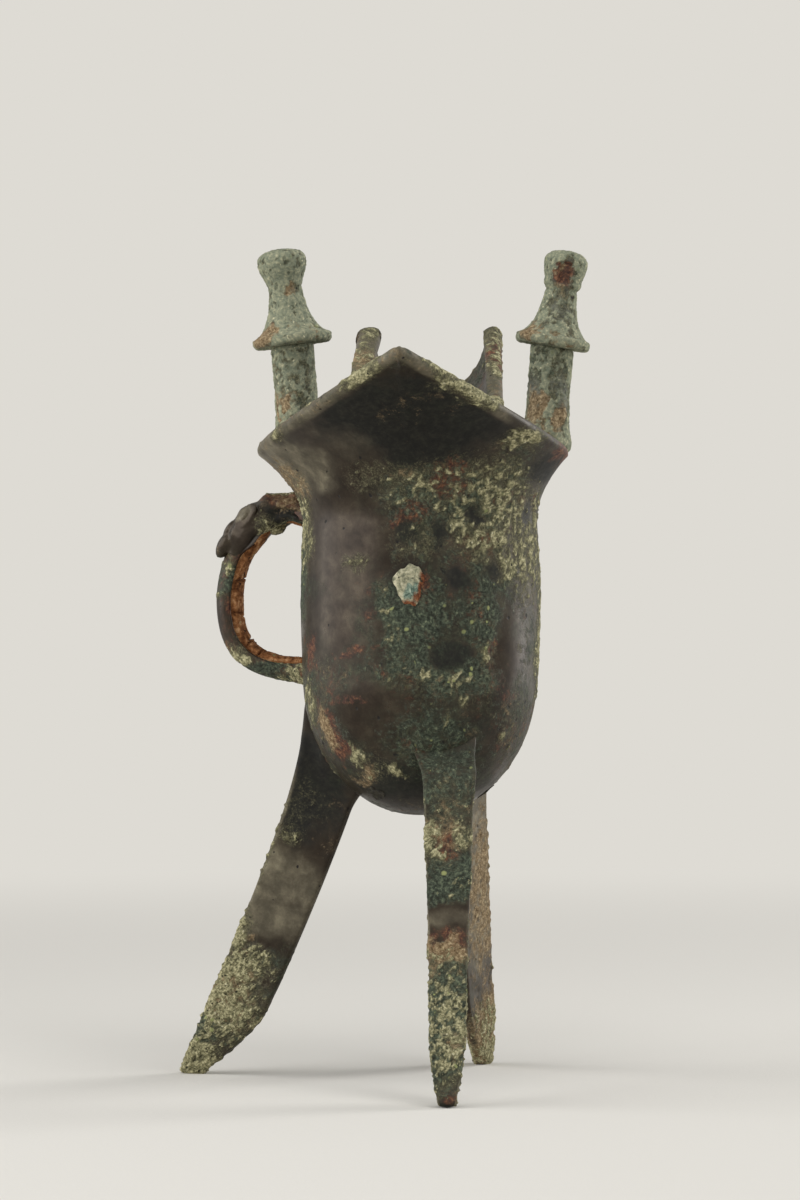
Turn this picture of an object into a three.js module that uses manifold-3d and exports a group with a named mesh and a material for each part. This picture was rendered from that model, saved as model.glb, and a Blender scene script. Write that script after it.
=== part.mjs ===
// A bronze jue wine vessel in the late Shang style, as its castings and the clay and spacers left in them.
// Millimetres, +Z up. The spout points to +Y, the tail to -Y and the handle to -X.
import * as THREE from "three";
import { mergeVertices } from "three/addons/utils/BufferGeometryUtils.js";
import Module from "manifold-3d";

const wasm = await Module();
wasm.setup();

const degree = Math.PI / 180;

// Fits
const gap = 0.3; // between two castings, or a casting and the clay in it
const peg = { rootRadius: 2.2, tipRadius: 1.7, length: 4.6, sides: 10 };

// Cup, from the underside up
const footHeight = 66; // floor to the underside of the cup
const baseDepth = 34; // height of the egg-shaped base
const wallHeight = 38; // height of the nearly straight wall
const cupRadius = 28.9; // outside, where base and wall meet
const cupBulge = 0.6; // how far the wall swells between its ends
const wall = 2.6;
const rimWall = 3.3;
const spoutRimWall = 3.9;

// Mouth
const mouthShift = -1.6; // the mouth is cast a little off the cup's axis
const flareRise = 17; // end of the wall to the rim's lowest point
const flareReach = 10; // cup to the rim's widest points
const flarePower = 2; // how late the wall turns outwards
const cornerY = -3;
const tailReach = 65;
const tailRise = 21;
const tailTipHalf = 1.9; // half the width of the blunt tip
const spoutReach = 96;
const spoutRise = 36.5;
const spoutHalfWidth = 19.3; // at the lip
const lipShift = -1; // the spout points a little towards the handle's side
const spoutRootHalfWidth = 21.4;
const spoutRootReach = 36;
const spoutRootRise = 7;
const troughRootDepth = 17;
const troughLipDepth = 22;
const spoutLift = 1.2; // how late the spout's edges rise

// Mesh steps
const tailColumns = 12;
const shoulderColumns = 7;
const troughColumns = 7;
const baseRows = 8;
const wallRows = 3;
const flareRows = 8;
const spoutRows = 8;

// Legs
const legDepth = 16.8; // outer face to inner ridge
const legEdge = 1.4; // flat at each side of the outer face
const legRidge = 1.1; // half the width of the inner ridge
const legRootWidth = 15.2;
const legShankWidth = 11.4;
const legFootWidth = 8.4;
const legTipWidth = 4.4;
const legTipDepth = 5.2;
const legTipHeight = 17; // where the tip starts to narrow
const legRootRise = 19; // underside of the cup to where the leg leaves it
const legTopRise = 13; // that point to the leg's top edge
const legTopSink = 3.4; // how far the top edge sinks into the cup
const legStations = 16;
const legPegRise = 11; // underside of the cup to the casting lug
// Each leg leaves the cup at an angle, set in a little, and ends at its foot. The higher its splay, the later
// it turns outwards.
const legs = [
  { name: "leg_under_handle", rootAngle: 166, inset: 2.2, footX: -61, footY: 27, splay: 1.18 },
  { name: "leg_tail_side", rootAngle: -73, inset: 0, footX: 9.3, footY: -57.5, splay: 1.22 },
  { name: "leg_spout_side", rootAngle: 72, inset: 0, footX: 13.5, footY: 56.5, splay: 1.22 },
];

// Handle
const handleAngle = 168;
const handleTopRise = 1.5; // over the end of the wall
const handleBottomDrop = 36.4; // under the end of the wall
const handleReach = 19.9; // cup to the strap's middle line
const strapWidth = 9.6;
const strapThickness = 5.8;
const strapSide = 1.6;
const strapRoof = 2;
const strapCorner = 1.5;
const strapStations = 22;
const lugShare = 0.1; // share of the strap's length that a body lug fills at each end
const coreRecess = 0.3;

// Ox head on the strap's top root
const headShare = 0.36; // share of the strap's length under the head
const headSnoutWidth = 11.6;
const headBrowWidth = 14.2;
const headCrown = 2.9; // metal over the strap at the brow
const headMuzzle = 1.7;
const headStations = 11;
const eyeRadius = 1.5;
const earRadius = 2.5;

// Posts and caps
const postPlace = 0.5; // share of the shoulder curve
const postRadius = 5.3;
const postFootRadius = 6.8;
const postFork = 5.5; // how far the foot reaches down both faces of the rim
const postLean = 4;
const capHeight = 24;
const capFlangeEdge = 2.2;
const capNeckHeight = 13.8;
const capKnobHeight = 21;
const tenonRadius = 3.8;
const tenonHeight = 6;
const capCoreRadius = 2;
const capCoreTop = 20;
// The two posts and caps differ a little, as castings from separate moulds do. Side is -1 towards the handle,
// and shift moves a post from its place on a mouth that is true to the cup.
const posts = [
  {
    place: "handle_side",
    side: -1,
    shift: -0.9,
    height: 25.4,
    capLean: 7.5,
    flange: 9.7,
    neck: 4.05,
    knob: 6,
  },
  {
    place: "far_side",
    side: 1,
    shift: 0.5,
    height: 24.8,
    capLean: 9.5,
    flange: 9.2,
    neck: 3.9,
    knob: 5.3,
  },
];
const rimLugRadius = 1.1;
const rimLugHeight = 4;
const lowRound = 20;
const fineRound = 28;

// Spacers between the mould and its core
const chaplet = { radius: 4.4, thickness: 1.7, proud: 0.45, rise: 22.8, angle: -92 };
const baseChaplet = { radius: 2.4, thickness: 1.5, proud: 0.25, polar: 34, angles: [-128, 0, 122] };

// Heights worked out from the sizes above
const wallFoot = footHeight + baseDepth;
const wallTop = wallFoot + wallHeight;
const saddleHeight = wallTop + flareRise;
const tailHeight = saddleHeight + tailRise;
const spoutHeight = saddleHeight + spoutRise;
const legRootHeight = footHeight + legRootRise;
const legTopHeight = legRootHeight + legTopRise;

const lerp = THREE.MathUtils.lerp;
const point = (x, y, z) => new THREE.Vector3(x, y, z);

// Solids

// A closed surface as a solid, with its faces turned outwards.
function solidOf(points, faces) {
  const vertProperties = new Float32Array(points.flatMap((p) => [p.x, p.y, p.z]));
  const triVerts = new Uint32Array(faces);
  const solid = new wasm.Manifold(new wasm.Mesh({ numProp: 3, vertProperties, triVerts }));
  if (solid.volume() > 0) return solid;
  const flipped = new Uint32Array(faces.slice().reverse());
  return new wasm.Manifold(new wasm.Mesh({ numProp: 3, vertProperties, triVerts: flipped }));
}

// A three.js geometry, moved by a matrix, as a solid.
function solidFrom(geometry, matrix = new THREE.Matrix4()) {
  const bare = geometry.clone().applyMatrix4(matrix);
  bare.deleteAttribute("normal");
  bare.deleteAttribute("uv");
  const merged = mergeVertices(bare, 1e-4);
  const position = merged.getAttribute("position");
  const points = [];
  for (let i = 0; i < position.count; i++) points.push(new THREE.Vector3().fromBufferAttribute(position, i));
  return solidOf(points, Array.from(merged.index.array));
}

// The largest of a solid's separate bodies.
function largest(solid) {
  return solid.decompose().reduce((best, piece) => (piece.volume() > best.volume() ? piece : best));
}

// A matrix that puts the local +Z axis along a direction at a place.
function facing(place, direction) {
  const turn = new THREE.Quaternion().setFromUnitVectors(point(0, 0, 1), direction.clone().normalize());
  return new THREE.Matrix4().compose(place, turn, point(1, 1, 1));
}

// A closed solid through rings of points that all follow one outline.
function loft(rings, outline) {
  const count = outline.length;
  const faces = [];
  for (let i = 0; i + 1 < rings.length; i++) {
    for (let k = 0; k < count; k++) {
      const a = i * count + k;
      const b = i * count + ((k + 1) % count);
      faces.push(a, b, b + count, a, b + count, a + count);
    }
  }
  const last = (rings.length - 1) * count;
  const turns = THREE.ShapeUtils.area(outline) > 0 ? 1 : -1;
  for (const [a, b, c] of THREE.ShapeUtils.triangulateShape(outline, [])) {
    const cap = turns > 0 ? [a, b, c] : [a, c, b];
    faces.push(cap[0], cap[2], cap[1]);
    faces.push(last + cap[0], last + cap[1], last + cap[2]);
  }
  return solidOf(rings.flat(), faces);
}

// A closed turned solid, its profile listed from the bottom up as [radius, height].
function turned(profile, sides) {
  return new THREE.LatheGeometry(
    profile.map(([radius, height]) => new THREE.Vector2(radius, height)),
    sides,
  ).rotateX(Math.PI / 2);
}

// Cup and mouth

// The cup's outer radius at a height of its base or wall.
function cupOuterRadius(height) {
  const up = THREE.MathUtils.clamp((height - footHeight) / baseDepth, 0, 1);
  const swell = THREE.MathUtils.clamp((height - wallFoot) / wallHeight, 0, 1);
  return cupRadius * Math.sqrt(1 - (1 - up) ** 2) + cupBulge * Math.sin(Math.PI * swell);
}

// The mouth's right half in three curves: the tail's side, the shoulder that carries the post, and the
// section of the spout's root, from the tail's tip to the middle of the trough.
const mouthHalfWidth = cupRadius + flareReach;
const spoutRoot = point(spoutRootHalfWidth, spoutRootReach, saddleHeight + spoutRootRise);
const tailTip = point(0, -tailReach, tailHeight);
const tailSide = new THREE.CubicBezierCurve3(
  point(tailTipHalf, 0.6 * tailTipHalf - tailReach, tailHeight - 0.3),
  point(0.36 * mouthHalfWidth, -0.78 * tailReach, lerp(saddleHeight, tailHeight, 0.66)),
  point(mouthHalfWidth, -0.42 * tailReach, lerp(saddleHeight, tailHeight, 0.06)),
  point(mouthHalfWidth, cornerY, saddleHeight),
);
const shoulder = new THREE.CubicBezierCurve3(
  point(mouthHalfWidth, cornerY, saddleHeight),
  point(mouthHalfWidth, lerp(cornerY, spoutRootReach, 0.38), saddleHeight - 0.8),
  point(spoutRoot.x + 1.6, lerp(cornerY, spoutRootReach, 0.54), saddleHeight + 1.4),
  spoutRoot,
);
const troughRoot = new THREE.CubicBezierCurve3(
  spoutRoot,
  point(0.97 * spoutRoot.x, spoutRoot.y + 0.5, spoutRoot.z - 0.62 * troughRootDepth),
  point(0.56 * spoutRoot.x, spoutRoot.y + 2, spoutRoot.z - troughRootDepth),
  point(0, spoutRoot.y + 2, spoutRoot.z - troughRootDepth),
);
const lip = new THREE.CubicBezierCurve3(
  point(spoutHalfWidth, spoutReach, spoutHeight),
  point(spoutHalfWidth, spoutReach + 0.8, spoutHeight - 0.52 * troughLipDepth),
  point(0.46 * spoutHalfWidth, spoutReach - 0.5, spoutHeight - troughLipDepth),
  point(0, spoutReach - 0.5, spoutHeight - troughLipDepth),
);

// Each column of the mouth: its place on the rim, its angle round the cup, and its lip point and its
// closeness to the spout's edge if it runs down the spout. The angles let the columns spread evenly.
function halfMouth() {
  const cornerAngle = -3 * degree;
  const rootAngle = 44 * degree;
  const tipAngle = -Math.PI / 2 + 2.5 * degree;
  const columns = [{ rim: tailTip, angle: -Math.PI / 2, lip: null, edge: 0 }];
  const add = (curve, steps, from, to, first, end) => {
    for (let i = first; i <= steps; i++) {
      const t = i / steps;
      columns.push({
        rim: curve.getPoint(t),
        angle: lerp(from, to, t),
        lip: end ? end.getPoint(t) : null,
        edge: end ? (1 - t) ** 2 : 0,
      });
    }
  };
  add(tailSide, tailColumns, tipAngle, cornerAngle, 0, null);
  add(shoulder, shoulderColumns, cornerAngle, rootAngle, 1, null);
  Object.assign(columns.at(-1), { lip: lip.getPoint(0), edge: 1 });
  add(troughRoot, troughColumns, rootAngle, Math.PI / 2, 1, lip);
  return columns;
}

// The whole mouth, anticlockwise from the tail's tip.
function mouthColumns() {
  const right = halfMouth();
  const mirror = (p) => (p ? point(-p.x, p.y, p.z) : null);
  const left = right
    .slice(1, -1)
    .reverse()
    .map((c) => ({ ...c, rim: mirror(c.rim), lip: mirror(c.lip), angle: Math.PI - c.angle }));
  const shifted = (p, shift) => (p ? point(p.x + shift, p.y, p.z) : null);
  return [...right, ...left].map((c) => ({
    ...c,
    rim: shifted(c.rim, mouthShift),
    lip: shifted(c.lip, mouthShift + lipShift),
  }));
}

// The vessel's outer face as an open sheet, with the thickness of metal behind each point.
function vesselSheet() {
  const columns = mouthColumns();
  const count = columns.length;
  const points = [point(0, 0, footHeight)];
  const walls = [wall];
  const faces = [];
  const rows = [];
  const addRow = (place, thickness) => {
    rows.push(columns.map((c) => points.push(place(c)) - 1));
    columns.forEach((c) => walls.push(thickness(c)));
  };
  const onCup = (c, height) => {
    const radius = cupOuterRadius(height);
    return point(radius * Math.cos(c.angle), radius * Math.sin(c.angle), height);
  };
  for (let i = 1; i <= baseRows; i++) {
    const height = wallFoot - baseDepth * Math.cos((Math.PI / 2) * (i / baseRows));
    addRow((c) => onCup(c, height), () => wall);
  }
  for (let i = 1; i <= wallRows; i++) {
    addRow((c) => onCup(c, wallFoot + wallHeight * (i / wallRows)), () => wall);
  }
  for (let i = 1; i <= flareRows; i++) {
    const v = i / flareRows;
    const place = (c) => {
      const from = onCup(c, wallTop);
      const out = c.rim.clone().sub(from).multiplyScalar(v ** flarePower);
      return point(from.x + out.x, from.y + out.y, lerp(from.z, c.rim.z, v));
    };
    addRow(place, (c) => (c.lip ? wall : lerp(wall, rimWall, v ** 3)));
  }
  const skin = (a, b, c, d) => faces.push(a, b, c, a, c, d);
  for (let j = 0; j < count; j++) {
    const k = (j + 1) % count;
    faces.push(0, rows[0][k], rows[0][j]);
    for (let i = 0; i + 1 < rows.length; i++) skin(rows[i][j], rows[i][k], rows[i + 1][k], rows[i + 1][j]);
  }
  const top = rows.at(-1);
  const spout = columns.map((c, j) => j).filter((j) => columns[j].lip);
  let below = spout.map((j) => top[j]);
  for (let i = 1; i <= spoutRows; i++) {
    const w = i / spoutRows;
    const row = spout.map((j) => {
      const { rim, lip: end, edge } = columns[j];
      const rise = lerp(rim.z, end.z, w ** lerp(1, spoutLift, edge));
      walls.push(lerp(wall, spoutRimWall, Math.max(edge ** 2, w ** 4)));
      return points.push(point(lerp(rim.x, end.x, w), lerp(rim.y, end.y, w), rise)) - 1;
    });
    for (let k = 0; k + 1 < row.length; k++) skin(below[k], below[k + 1], row[k + 1], row[k]);
    below = row;
  }
  return { points, walls, faces };
}

// A sheet made solid: its metal lies behind the faces, and clearance adds to both sides.
function thicken({ points, walls, faces }, clearance = 0) {
  const sheet = new THREE.BufferGeometry().setFromPoints(points);
  sheet.setIndex(faces);
  sheet.computeVertexNormals();
  const normal = sheet.getAttribute("normal");
  const outer = [];
  const inner = [];
  points.forEach((p, i) => {
    const out = new THREE.Vector3().fromBufferAttribute(normal, i);
    outer.push(p.clone().addScaledVector(out, clearance));
    inner.push(p.clone().addScaledVector(out, -walls[i] - clearance));
  });
  const count = points.length;
  const edges = new Set();
  const skin = [];
  for (let f = 0; f < faces.length; f += 3) {
    const [a, b, c] = faces.slice(f, f + 3);
    skin.push(a, b, c, a + count, c + count, b + count);
    [[a, b], [b, c], [c, a]].forEach(([from, to]) => edges.add(`${from},${to}`));
  }
  for (const edge of edges) {
    const [from, to] = edge.split(",").map(Number);
    if (!edges.has(`${to},${from}`)) skin.push(to, from, from + count, to, from + count, to + count);
  }
  return solidOf([...outer, ...inner], skin);
}

// A tapered round lug that starts under a surface and stands out of it along a direction.
function pegSolid(place, direction, size, clearance) {
  const { rootRadius, tipRadius, length, sides } = size;
  const below = wall / 2;
  const whole = length + below + clearance;
  const shape = new THREE.CylinderGeometry(tipRadius + clearance, rootRadius + clearance, whole, sides)
    .rotateX(Math.PI / 2)
    .translate(0, 0, (length + clearance - below) / 2);
  return solidFrom(shape, facing(place, direction));
}

// A point of the cup's base and its outward direction, at an angle round the cup.
function basePoint(height, angle) {
  const radius = cupOuterRadius(height);
  const out = radius / cupRadius ** 2;
  const up = (height - wallFoot) / baseDepth ** 2;
  return {
    place: point(radius * Math.cos(angle), radius * Math.sin(angle), height),
    direction: point(out * Math.cos(angle), out * Math.sin(angle), up).normalize(),
  };
}

// The space that the cup's base and wall fill, for cutting what stands against them.
function cupEnvelope(clearance) {
  const profile = [[0, footHeight - clearance]];
  for (let i = 1; i <= baseRows; i++) {
    const height = wallFoot - baseDepth * Math.cos((Math.PI / 2) * (i / baseRows));
    profile.push([cupOuterRadius(height) + clearance, height]);
  }
  for (let i = 1; i <= wallRows; i++) {
    const height = wallFoot + wallHeight * (i / wallRows);
    profile.push([cupOuterRadius(height) + clearance, height]);
  }
  profile.push([0, wallTop]);
  return solidFrom(turned(profile, 72));
}

// Legs

const legShankHeight = 0.72 * legRootHeight;

// The leg's widths and depth at a height.
function legSize(height) {
  const tip = 1 - (1 - Math.min(height / legTipHeight, 1)) ** 1.7;
  const shank = THREE.MathUtils.clamp((height - legTipHeight) / (legShankHeight - legTipHeight), 0, 1);
  const root = Math.max((height - legShankHeight) / (legRootHeight - legShankHeight), 0);
  const width = lerp(legFootWidth, legShankWidth, shank) + (legRootWidth - legShankWidth) * root ** 1.6;
  return {
    width: lerp(legTipWidth, width, tip),
    depth: lerp(legTipDepth, legDepth, tip),
  };
}

// The section of a leg: a flat outer face, short flat sides, and two faces that meet in a blunt ridge.
function legOutline(width, depth) {
  const half = width / 2;
  const ridge = Math.min(legRidge, 0.3 * half);
  return [
    [-half + 0.5, 0],
    [half - 0.5, 0],
    [half, 0.5],
    [half, legEdge],
    [ridge, depth - 0.5],
    [0.5 * ridge, depth],
    [-0.5 * ridge, depth],
    [-ridge, depth - 0.5],
    [-half, legEdge],
    [-half, 0.5],
  ].map(([across, inwards]) => new THREE.Vector2(across, inwards));
}

function legSolid({ rootAngle, inset, footX, footY, splay }) {
  const radial = point(Math.cos(rootAngle * degree), Math.sin(rootAngle * degree), 0);
  const root = radial.clone().multiplyScalar(cupRadius - inset);
  const foot = point(footX, footY, 0);
  const outwards = foot.clone().sub(root).normalize();
  const across = point(-outwards.y, outwards.x, 0);
  const rings = [];
  for (let i = 0; i <= legStations; i++) {
    const height = legTopHeight * (i / legStations) ** 1.35;
    const spread = Math.max(1 - height / legRootHeight, 0) ** splay;
    const sink = Math.max((height - legRootHeight) / legTopRise, 0);
    const middle = root.clone().lerp(foot, spread).addScaledVector(radial, -legTopSink * sink);
    const { width, depth } = legSize(height);
    const ring = legOutline(width, depth).map((p) =>
      middle.clone().addScaledVector(across, p.x).addScaledVector(outwards, -p.y).setZ(height),
    );
    rings.push(ring);
  }
  return loft(rings, legOutline(legFootWidth, legDepth));
}

function legPeg({ rootAngle }, clearance) {
  const { place, direction } = basePoint(footHeight + legPegRise, rootAngle * degree);
  return pegSolid(place, direction, peg, clearance);
}

// Handle

// The strap's middle line in the handle's own upright plane, as shares of its reach and of its height.
const handleLine = new THREE.CatmullRomCurve3(
  [
    [-0.07, 0],
    [0.2, -0.04],
    [0.47, -0.01],
    [0.72, 0.13],
    [0.92, 0.31],
    [1, 0.54],
    [0.93, 0.77],
    [0.71, 0.91],
    [0.38, 0.98],
    [-0.07, 1],
  ].map(([reach, drop]) => {
    const height = wallTop + handleTopRise - drop * (handleTopRise + handleBottomDrop);
    return point(cupRadius + reach * handleReach, 0, height);
  }),
);

// A ring of an outline [across, outwards] at a share of the handle's length.
function handleRing(share, outline) {
  const middle = handleLine.getPointAt(share);
  const along = handleLine.getTangentAt(share);
  const out = point(-along.z, 0, along.x);
  if (out.x * (middle.x - cupRadius) + out.z * (middle.z - wallTop + handleBottomDrop / 2) < 0) out.negate();
  const angle = handleAngle * degree;
  return outline.map((p) => {
    const at = middle.clone().addScaledVector(out, p.y);
    at.y += p.x;
    return at.applyAxisAngle(point(0, 0, 1), angle);
  });
}

function alongHandle(from, to, steps, outlineAt) {
  const rings = [];
  for (let i = 0; i <= steps; i++) rings.push(handleRing(lerp(from, to, i / steps), outlineAt(i / steps)));
  return loft(rings, outlineAt(0.5));
}

const outlineOf = (pairs) => pairs.map(([across, out]) => new THREE.Vector2(across, out));
const halfStrap = strapWidth / 2;
const halfThick = strapThickness / 2;

// The strap's outer form without its channel, grown by a clearance.
function strapOutline(clearance) {
  const side = halfStrap + clearance;
  const top = halfThick + clearance;
  return outlineOf([
    [-side, -top],
    [side, -top],
    [side, top - strapCorner],
    [side - strapCorner, top],
    [-side + strapCorner, top],
    [-side, top - strapCorner],
  ]);
}

// The strap's channel: what the clay core and the body's two lugs fill.
function channelOutline(clearance) {
  const side = halfStrap - strapSide - gap + clearance;
  const roof = halfThick - strapRoof - gap + clearance;
  const floor = -halfThick + coreRecess - (clearance > 0 ? strapThickness : 0);
  return outlineOf([
    [-side, floor],
    [side, floor],
    [side, roof],
    [-side, roof],
  ]);
}

function strapSolid() {
  const outer = alongHandle(0, 1, strapStations, () => strapOutline(0));
  return outer.subtract(alongHandle(0, 1, strapStations, () => channelOutline(gap)));
}

// The two lugs of the cup wall that reach into the strap's channel, and the clay between them.
function handleLugs() {
  const top = alongHandle(0, lugShare, 3, () => channelOutline(0));
  return top.add(alongHandle(1 - lugShare, 1, 3, () => channelOutline(0)));
}

function handleCoreSolid() {
  const clear = gap / handleLine.getLength();
  return alongHandle(lugShare + clear, 1 - lugShare - clear, strapStations, () => channelOutline(0));
}

// Ox head

const smooth = THREE.MathUtils.smoothstep;

// The head's width and the metal over the strap at a share of its length, from snout to neck.
function headSize(share) {
  const brow = smooth(share, 0.3, 0.66);
  const neck = smooth(share, 0.84, 1);
  return {
    width: lerp(lerp(headSnoutWidth, headBrowWidth, brow), strapWidth + 1.8, neck),
    crown: lerp(lerp(headMuzzle, headCrown, brow), 0.8, neck),
  };
}

function headOutline(share) {
  const { width, crown } = headSize(share);
  const side = width / 2;
  const top = halfThick + crown;
  return outlineOf([
    [-0.9 * side, -halfThick + 0.6],
    [0.9 * side, -halfThick + 0.6],
    [side, 0],
    [0.92 * side, 0.6 * top],
    [0.55 * side, 0.94 * top],
    [0, top],
    [-0.55 * side, 0.94 * top],
    [-0.92 * side, 0.6 * top],
    [-side, 0],
  ]);
}

function headSolid() {
  const ball = (radius, share, across, out) => {
    const [centre] = handleRing(share * headShare, outlineOf([[across, out]]));
    return solidFrom(new THREE.SphereGeometry(radius, 12, 8).translate(centre.x, centre.y, centre.z));
  };
  let head = alongHandle(0, headShare, headStations, headOutline);
  for (const side of [-1, 1]) {
    head = head.add(ball(eyeRadius, 0.68, side * 0.42 * headBrowWidth, halfThick + 0.4 * headCrown));
    head = head.add(ball(earRadius, 0.9, side * 0.3 * headBrowWidth, halfThick + 0.5 * headCrown));
  }
  return head.subtract(alongHandle(0, 1, strapStations, () => strapOutline(gap)));
}

// Posts and caps

const upright = point(0, 0, 1);

// Where a post stands: the middle of the rim's edge, and the leaning frames of its shaft and its cap.
function postSeat({ side, shift, height, capLean }) {
  const rim = shoulder.getPoint(postPlace);
  const along = shoulder.getTangent(postPlace);
  const steepness = point(Math.sign(rim.x), 0, (saddleHeight - wallTop) / (flarePower * flareReach));
  const outwards = steepness.clone().normalize().cross(along).normalize();
  if (outwards.x < 0) outwards.negate();
  const middle = rim.clone().addScaledVector(outwards, -rimWall / 2);
  middle.x = side * middle.x + shift;
  const lean = (angle) => upright.clone().applyAxisAngle(point(0, 1, 0), side * angle * degree);
  const shaft = facing(middle, lean(postLean));
  const top = point(0, 0, height).applyMatrix4(shaft);
  return { shaft, cap: facing(top, lean(capLean)) };
}

function rimLug(post, clearance) {
  const radius = rimLugRadius + clearance;
  const height = 2 * (rimLugHeight + clearance);
  const shape = new THREE.CylinderGeometry(radius, radius, height, peg.sides).rotateX(Math.PI / 2);
  return solidFrom(shape, postSeat(post).shaft);
}

function postSolid(post, vesselSpace) {
  const { shaft, cap } = postSeat(post);
  // The cap leans further than the shaft, so the shaft stops short of it.
  const top = post.height - gap - postRadius * Math.tan((post.capLean - postLean) * degree);
  const stem = turned(
    [
      [0, -postFork],
      [postFootRadius - 0.8, -postFork],
      [postFootRadius, -postFork + 0.8],
      [postFootRadius, 0],
      [postRadius + 0.5, 4],
      [postRadius - 0.1, 9],
      [postRadius, top - 0.6],
      [postRadius - 0.6, top],
      [0, top],
    ],
    lowRound,
  );
  const tenon = turned(
    [
      [0, -4],
      [tenonRadius - 0.4, -4],
      [tenonRadius, tenonHeight - 0.6],
      [tenonRadius - 0.5, tenonHeight],
      [0, tenonHeight],
    ],
    lowRound,
  );
  const whole = solidFrom(stem, shaft).add(solidFrom(tenon, cap));
  return largest(whole.subtract(vesselSpace).subtract(rimLug(post, gap)));
}

// The cap's outside as a curve from the flange's edge up to its crown, then the hollow inside it.
function capGeometry({ flange, neck, knob }) {
  const outside = new THREE.Path();
  outside.moveTo(flange - 0.7, 0);
  outside.lineTo(flange, 0.7);
  outside.lineTo(flange, capFlangeEdge);
  const skirtX = 0.72 * flange;
  outside.bezierCurveTo(skirtX, capFlangeEdge + 0.6, neck + 0.4, 0.5 * capNeckHeight, neck, capNeckHeight);
  outside.bezierCurveTo(neck + 0.1, capNeckHeight + 3, knob, capKnobHeight - 3, knob, capKnobHeight);
  outside.bezierCurveTo(knob, capHeight - 1.2, 0.8 * knob, capHeight, 0, capHeight);
  const socket = tenonRadius + gap;
  const hollow = capCoreRadius + gap;
  const inside = [
    [0, capCoreTop + gap],
    [hollow, capCoreTop + gap],
    [hollow, tenonHeight + 2 * gap],
    [socket, tenonHeight + gap],
    [socket, 0],
  ];
  const profile = [...outside.getPoints(7).map((p) => [p.x, p.y]), ...inside];
  return turned([...profile, profile[0]], fineRound);
}

function capCoreGeometry() {
  const foot = tenonHeight + 2 * gap;
  return turned(
    [
      [0, foot],
      [capCoreRadius, foot],
      [capCoreRadius, capCoreTop - 0.8],
      [capCoreRadius - 0.8, capCoreTop],
      [0, capCoreTop],
    ],
    peg.sides,
  );
}

// Spacers

// A spacer's place and direction on the cup, and its pocket in the wall.
function wallChapletSeat() {
  const angle = chaplet.angle * degree;
  const radius = cupOuterRadius(wallFoot + chaplet.rise);
  const direction = point(Math.cos(angle), Math.sin(angle), 0);
  return facing(direction.clone().multiplyScalar(radius).setZ(wallFoot + chaplet.rise), direction);
}

function baseChapletSeat(angle) {
  const height = wallFoot - baseDepth * Math.cos(baseChaplet.polar * degree);
  const { place, direction } = basePoint(height, angle * degree);
  return facing(place, direction);
}

function chapletGeometry({ radius, thickness, proud }) {
  return turned(
    [
      [0, proud - thickness],
      [radius, proud - thickness],
      [radius, 0.3 * proud],
      [0.7 * radius, proud],
      [0, proud],
    ],
    lowRound,
  );
}

function chapletPocket({ radius, thickness, proud }, seat) {
  const depth = thickness - proud + gap;
  const shape = new THREE.CylinderGeometry(radius + gap, radius + gap, depth + wall, lowRound)
    .rotateX(Math.PI / 2)
    .translate(0, 0, (wall - depth) / 2);
  return solidFrom(shape, seat);
}

// Assembly

function vesselSolid() {
  let vessel = thicken(vesselSheet()).add(handleLugs());
  for (const leg of legs) vessel = vessel.add(legPeg(leg, 0));
  for (const post of posts) vessel = vessel.add(rimLug(post, 0));
  vessel = vessel.subtract(chapletPocket(chaplet, wallChapletSeat()));
  for (const angle of baseChaplet.angles) {
    vessel = vessel.subtract(chapletPocket(baseChaplet, baseChapletSeat(angle)));
  }
  return largest(vessel);
}

const finishes = {
  bronze: { color: 0x4a4238, roughness: 0.5, metalness: 0.6 },
  crusted: { color: 0x8a9178, roughness: 0.85, metalness: 0.1 },
  clay: { color: 0x8b5a38, roughness: 0.95, metalness: 0 },
  spacer: { color: 0xb9c7a6, roughness: 0.8, metalness: 0.2 },
};

const jue = new THREE.Group();

function addPiece(name, finish, geometry, place = new THREE.Matrix4()) {
  const piece = new THREE.Mesh(geometry, new THREE.MeshStandardMaterial(finishes[finish]));
  piece.name = name;
  piece.applyMatrix4(place);
  jue.add(piece);
}

function addSolid(name, finish, solid) {
  const { vertProperties, triVerts } = solid.getMesh();
  const geometry = new THREE.BufferGeometry();
  geometry.setAttribute("position", new THREE.BufferAttribute(vertProperties, 3));
  geometry.setIndex(new THREE.BufferAttribute(triVerts, 1));
  geometry.computeVertexNormals();
  addPiece(name, finish, geometry);
}

const vesselSpace = thicken(vesselSheet(), gap);
const rimSpace = vesselSpace.add(vesselSpace.translate(0, 0, gap));
const envelope = cupEnvelope(gap);

addSolid("vessel_body", "bronze", vesselSolid());
for (const leg of legs) {
  addSolid(leg.name, "bronze", largest(legSolid(leg).subtract(envelope).subtract(legPeg(leg, gap))));
}
addSolid("handle_strap", "bronze", largest(strapSolid().subtract(vesselSpace)));
addSolid("handle_clay_core", "clay", handleCoreSolid());
addSolid("handle_ox_head", "bronze", largest(headSolid().subtract(vesselSpace)));
for (const post of posts) {
  const { cap } = postSeat(post);
  addSolid(`post_${post.place}`, "crusted", postSolid(post, rimSpace));
  addPiece(`post_cap_${post.place}`, "crusted", capGeometry(post), cap);
  addPiece(`cap_core_${post.place}`, "clay", capCoreGeometry(), cap);
}
addPiece("chaplet_tail_wall", "spacer", chapletGeometry(chaplet), wallChapletSeat());
baseChaplet.angles.forEach((angle, i) => {
  addPiece(`chaplet_base_${i + 1}`, "spacer", chapletGeometry(baseChaplet), baseChapletSeat(angle));
});

// The part's origin is the middle of its box, on the floor.
const box = new THREE.Box3().setFromObject(jue, true);
jue.position.set(-(box.min.x + box.max.x) / 2, -(box.min.y + box.max.y) / 2, -box.min.z);

export default jue;
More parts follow.
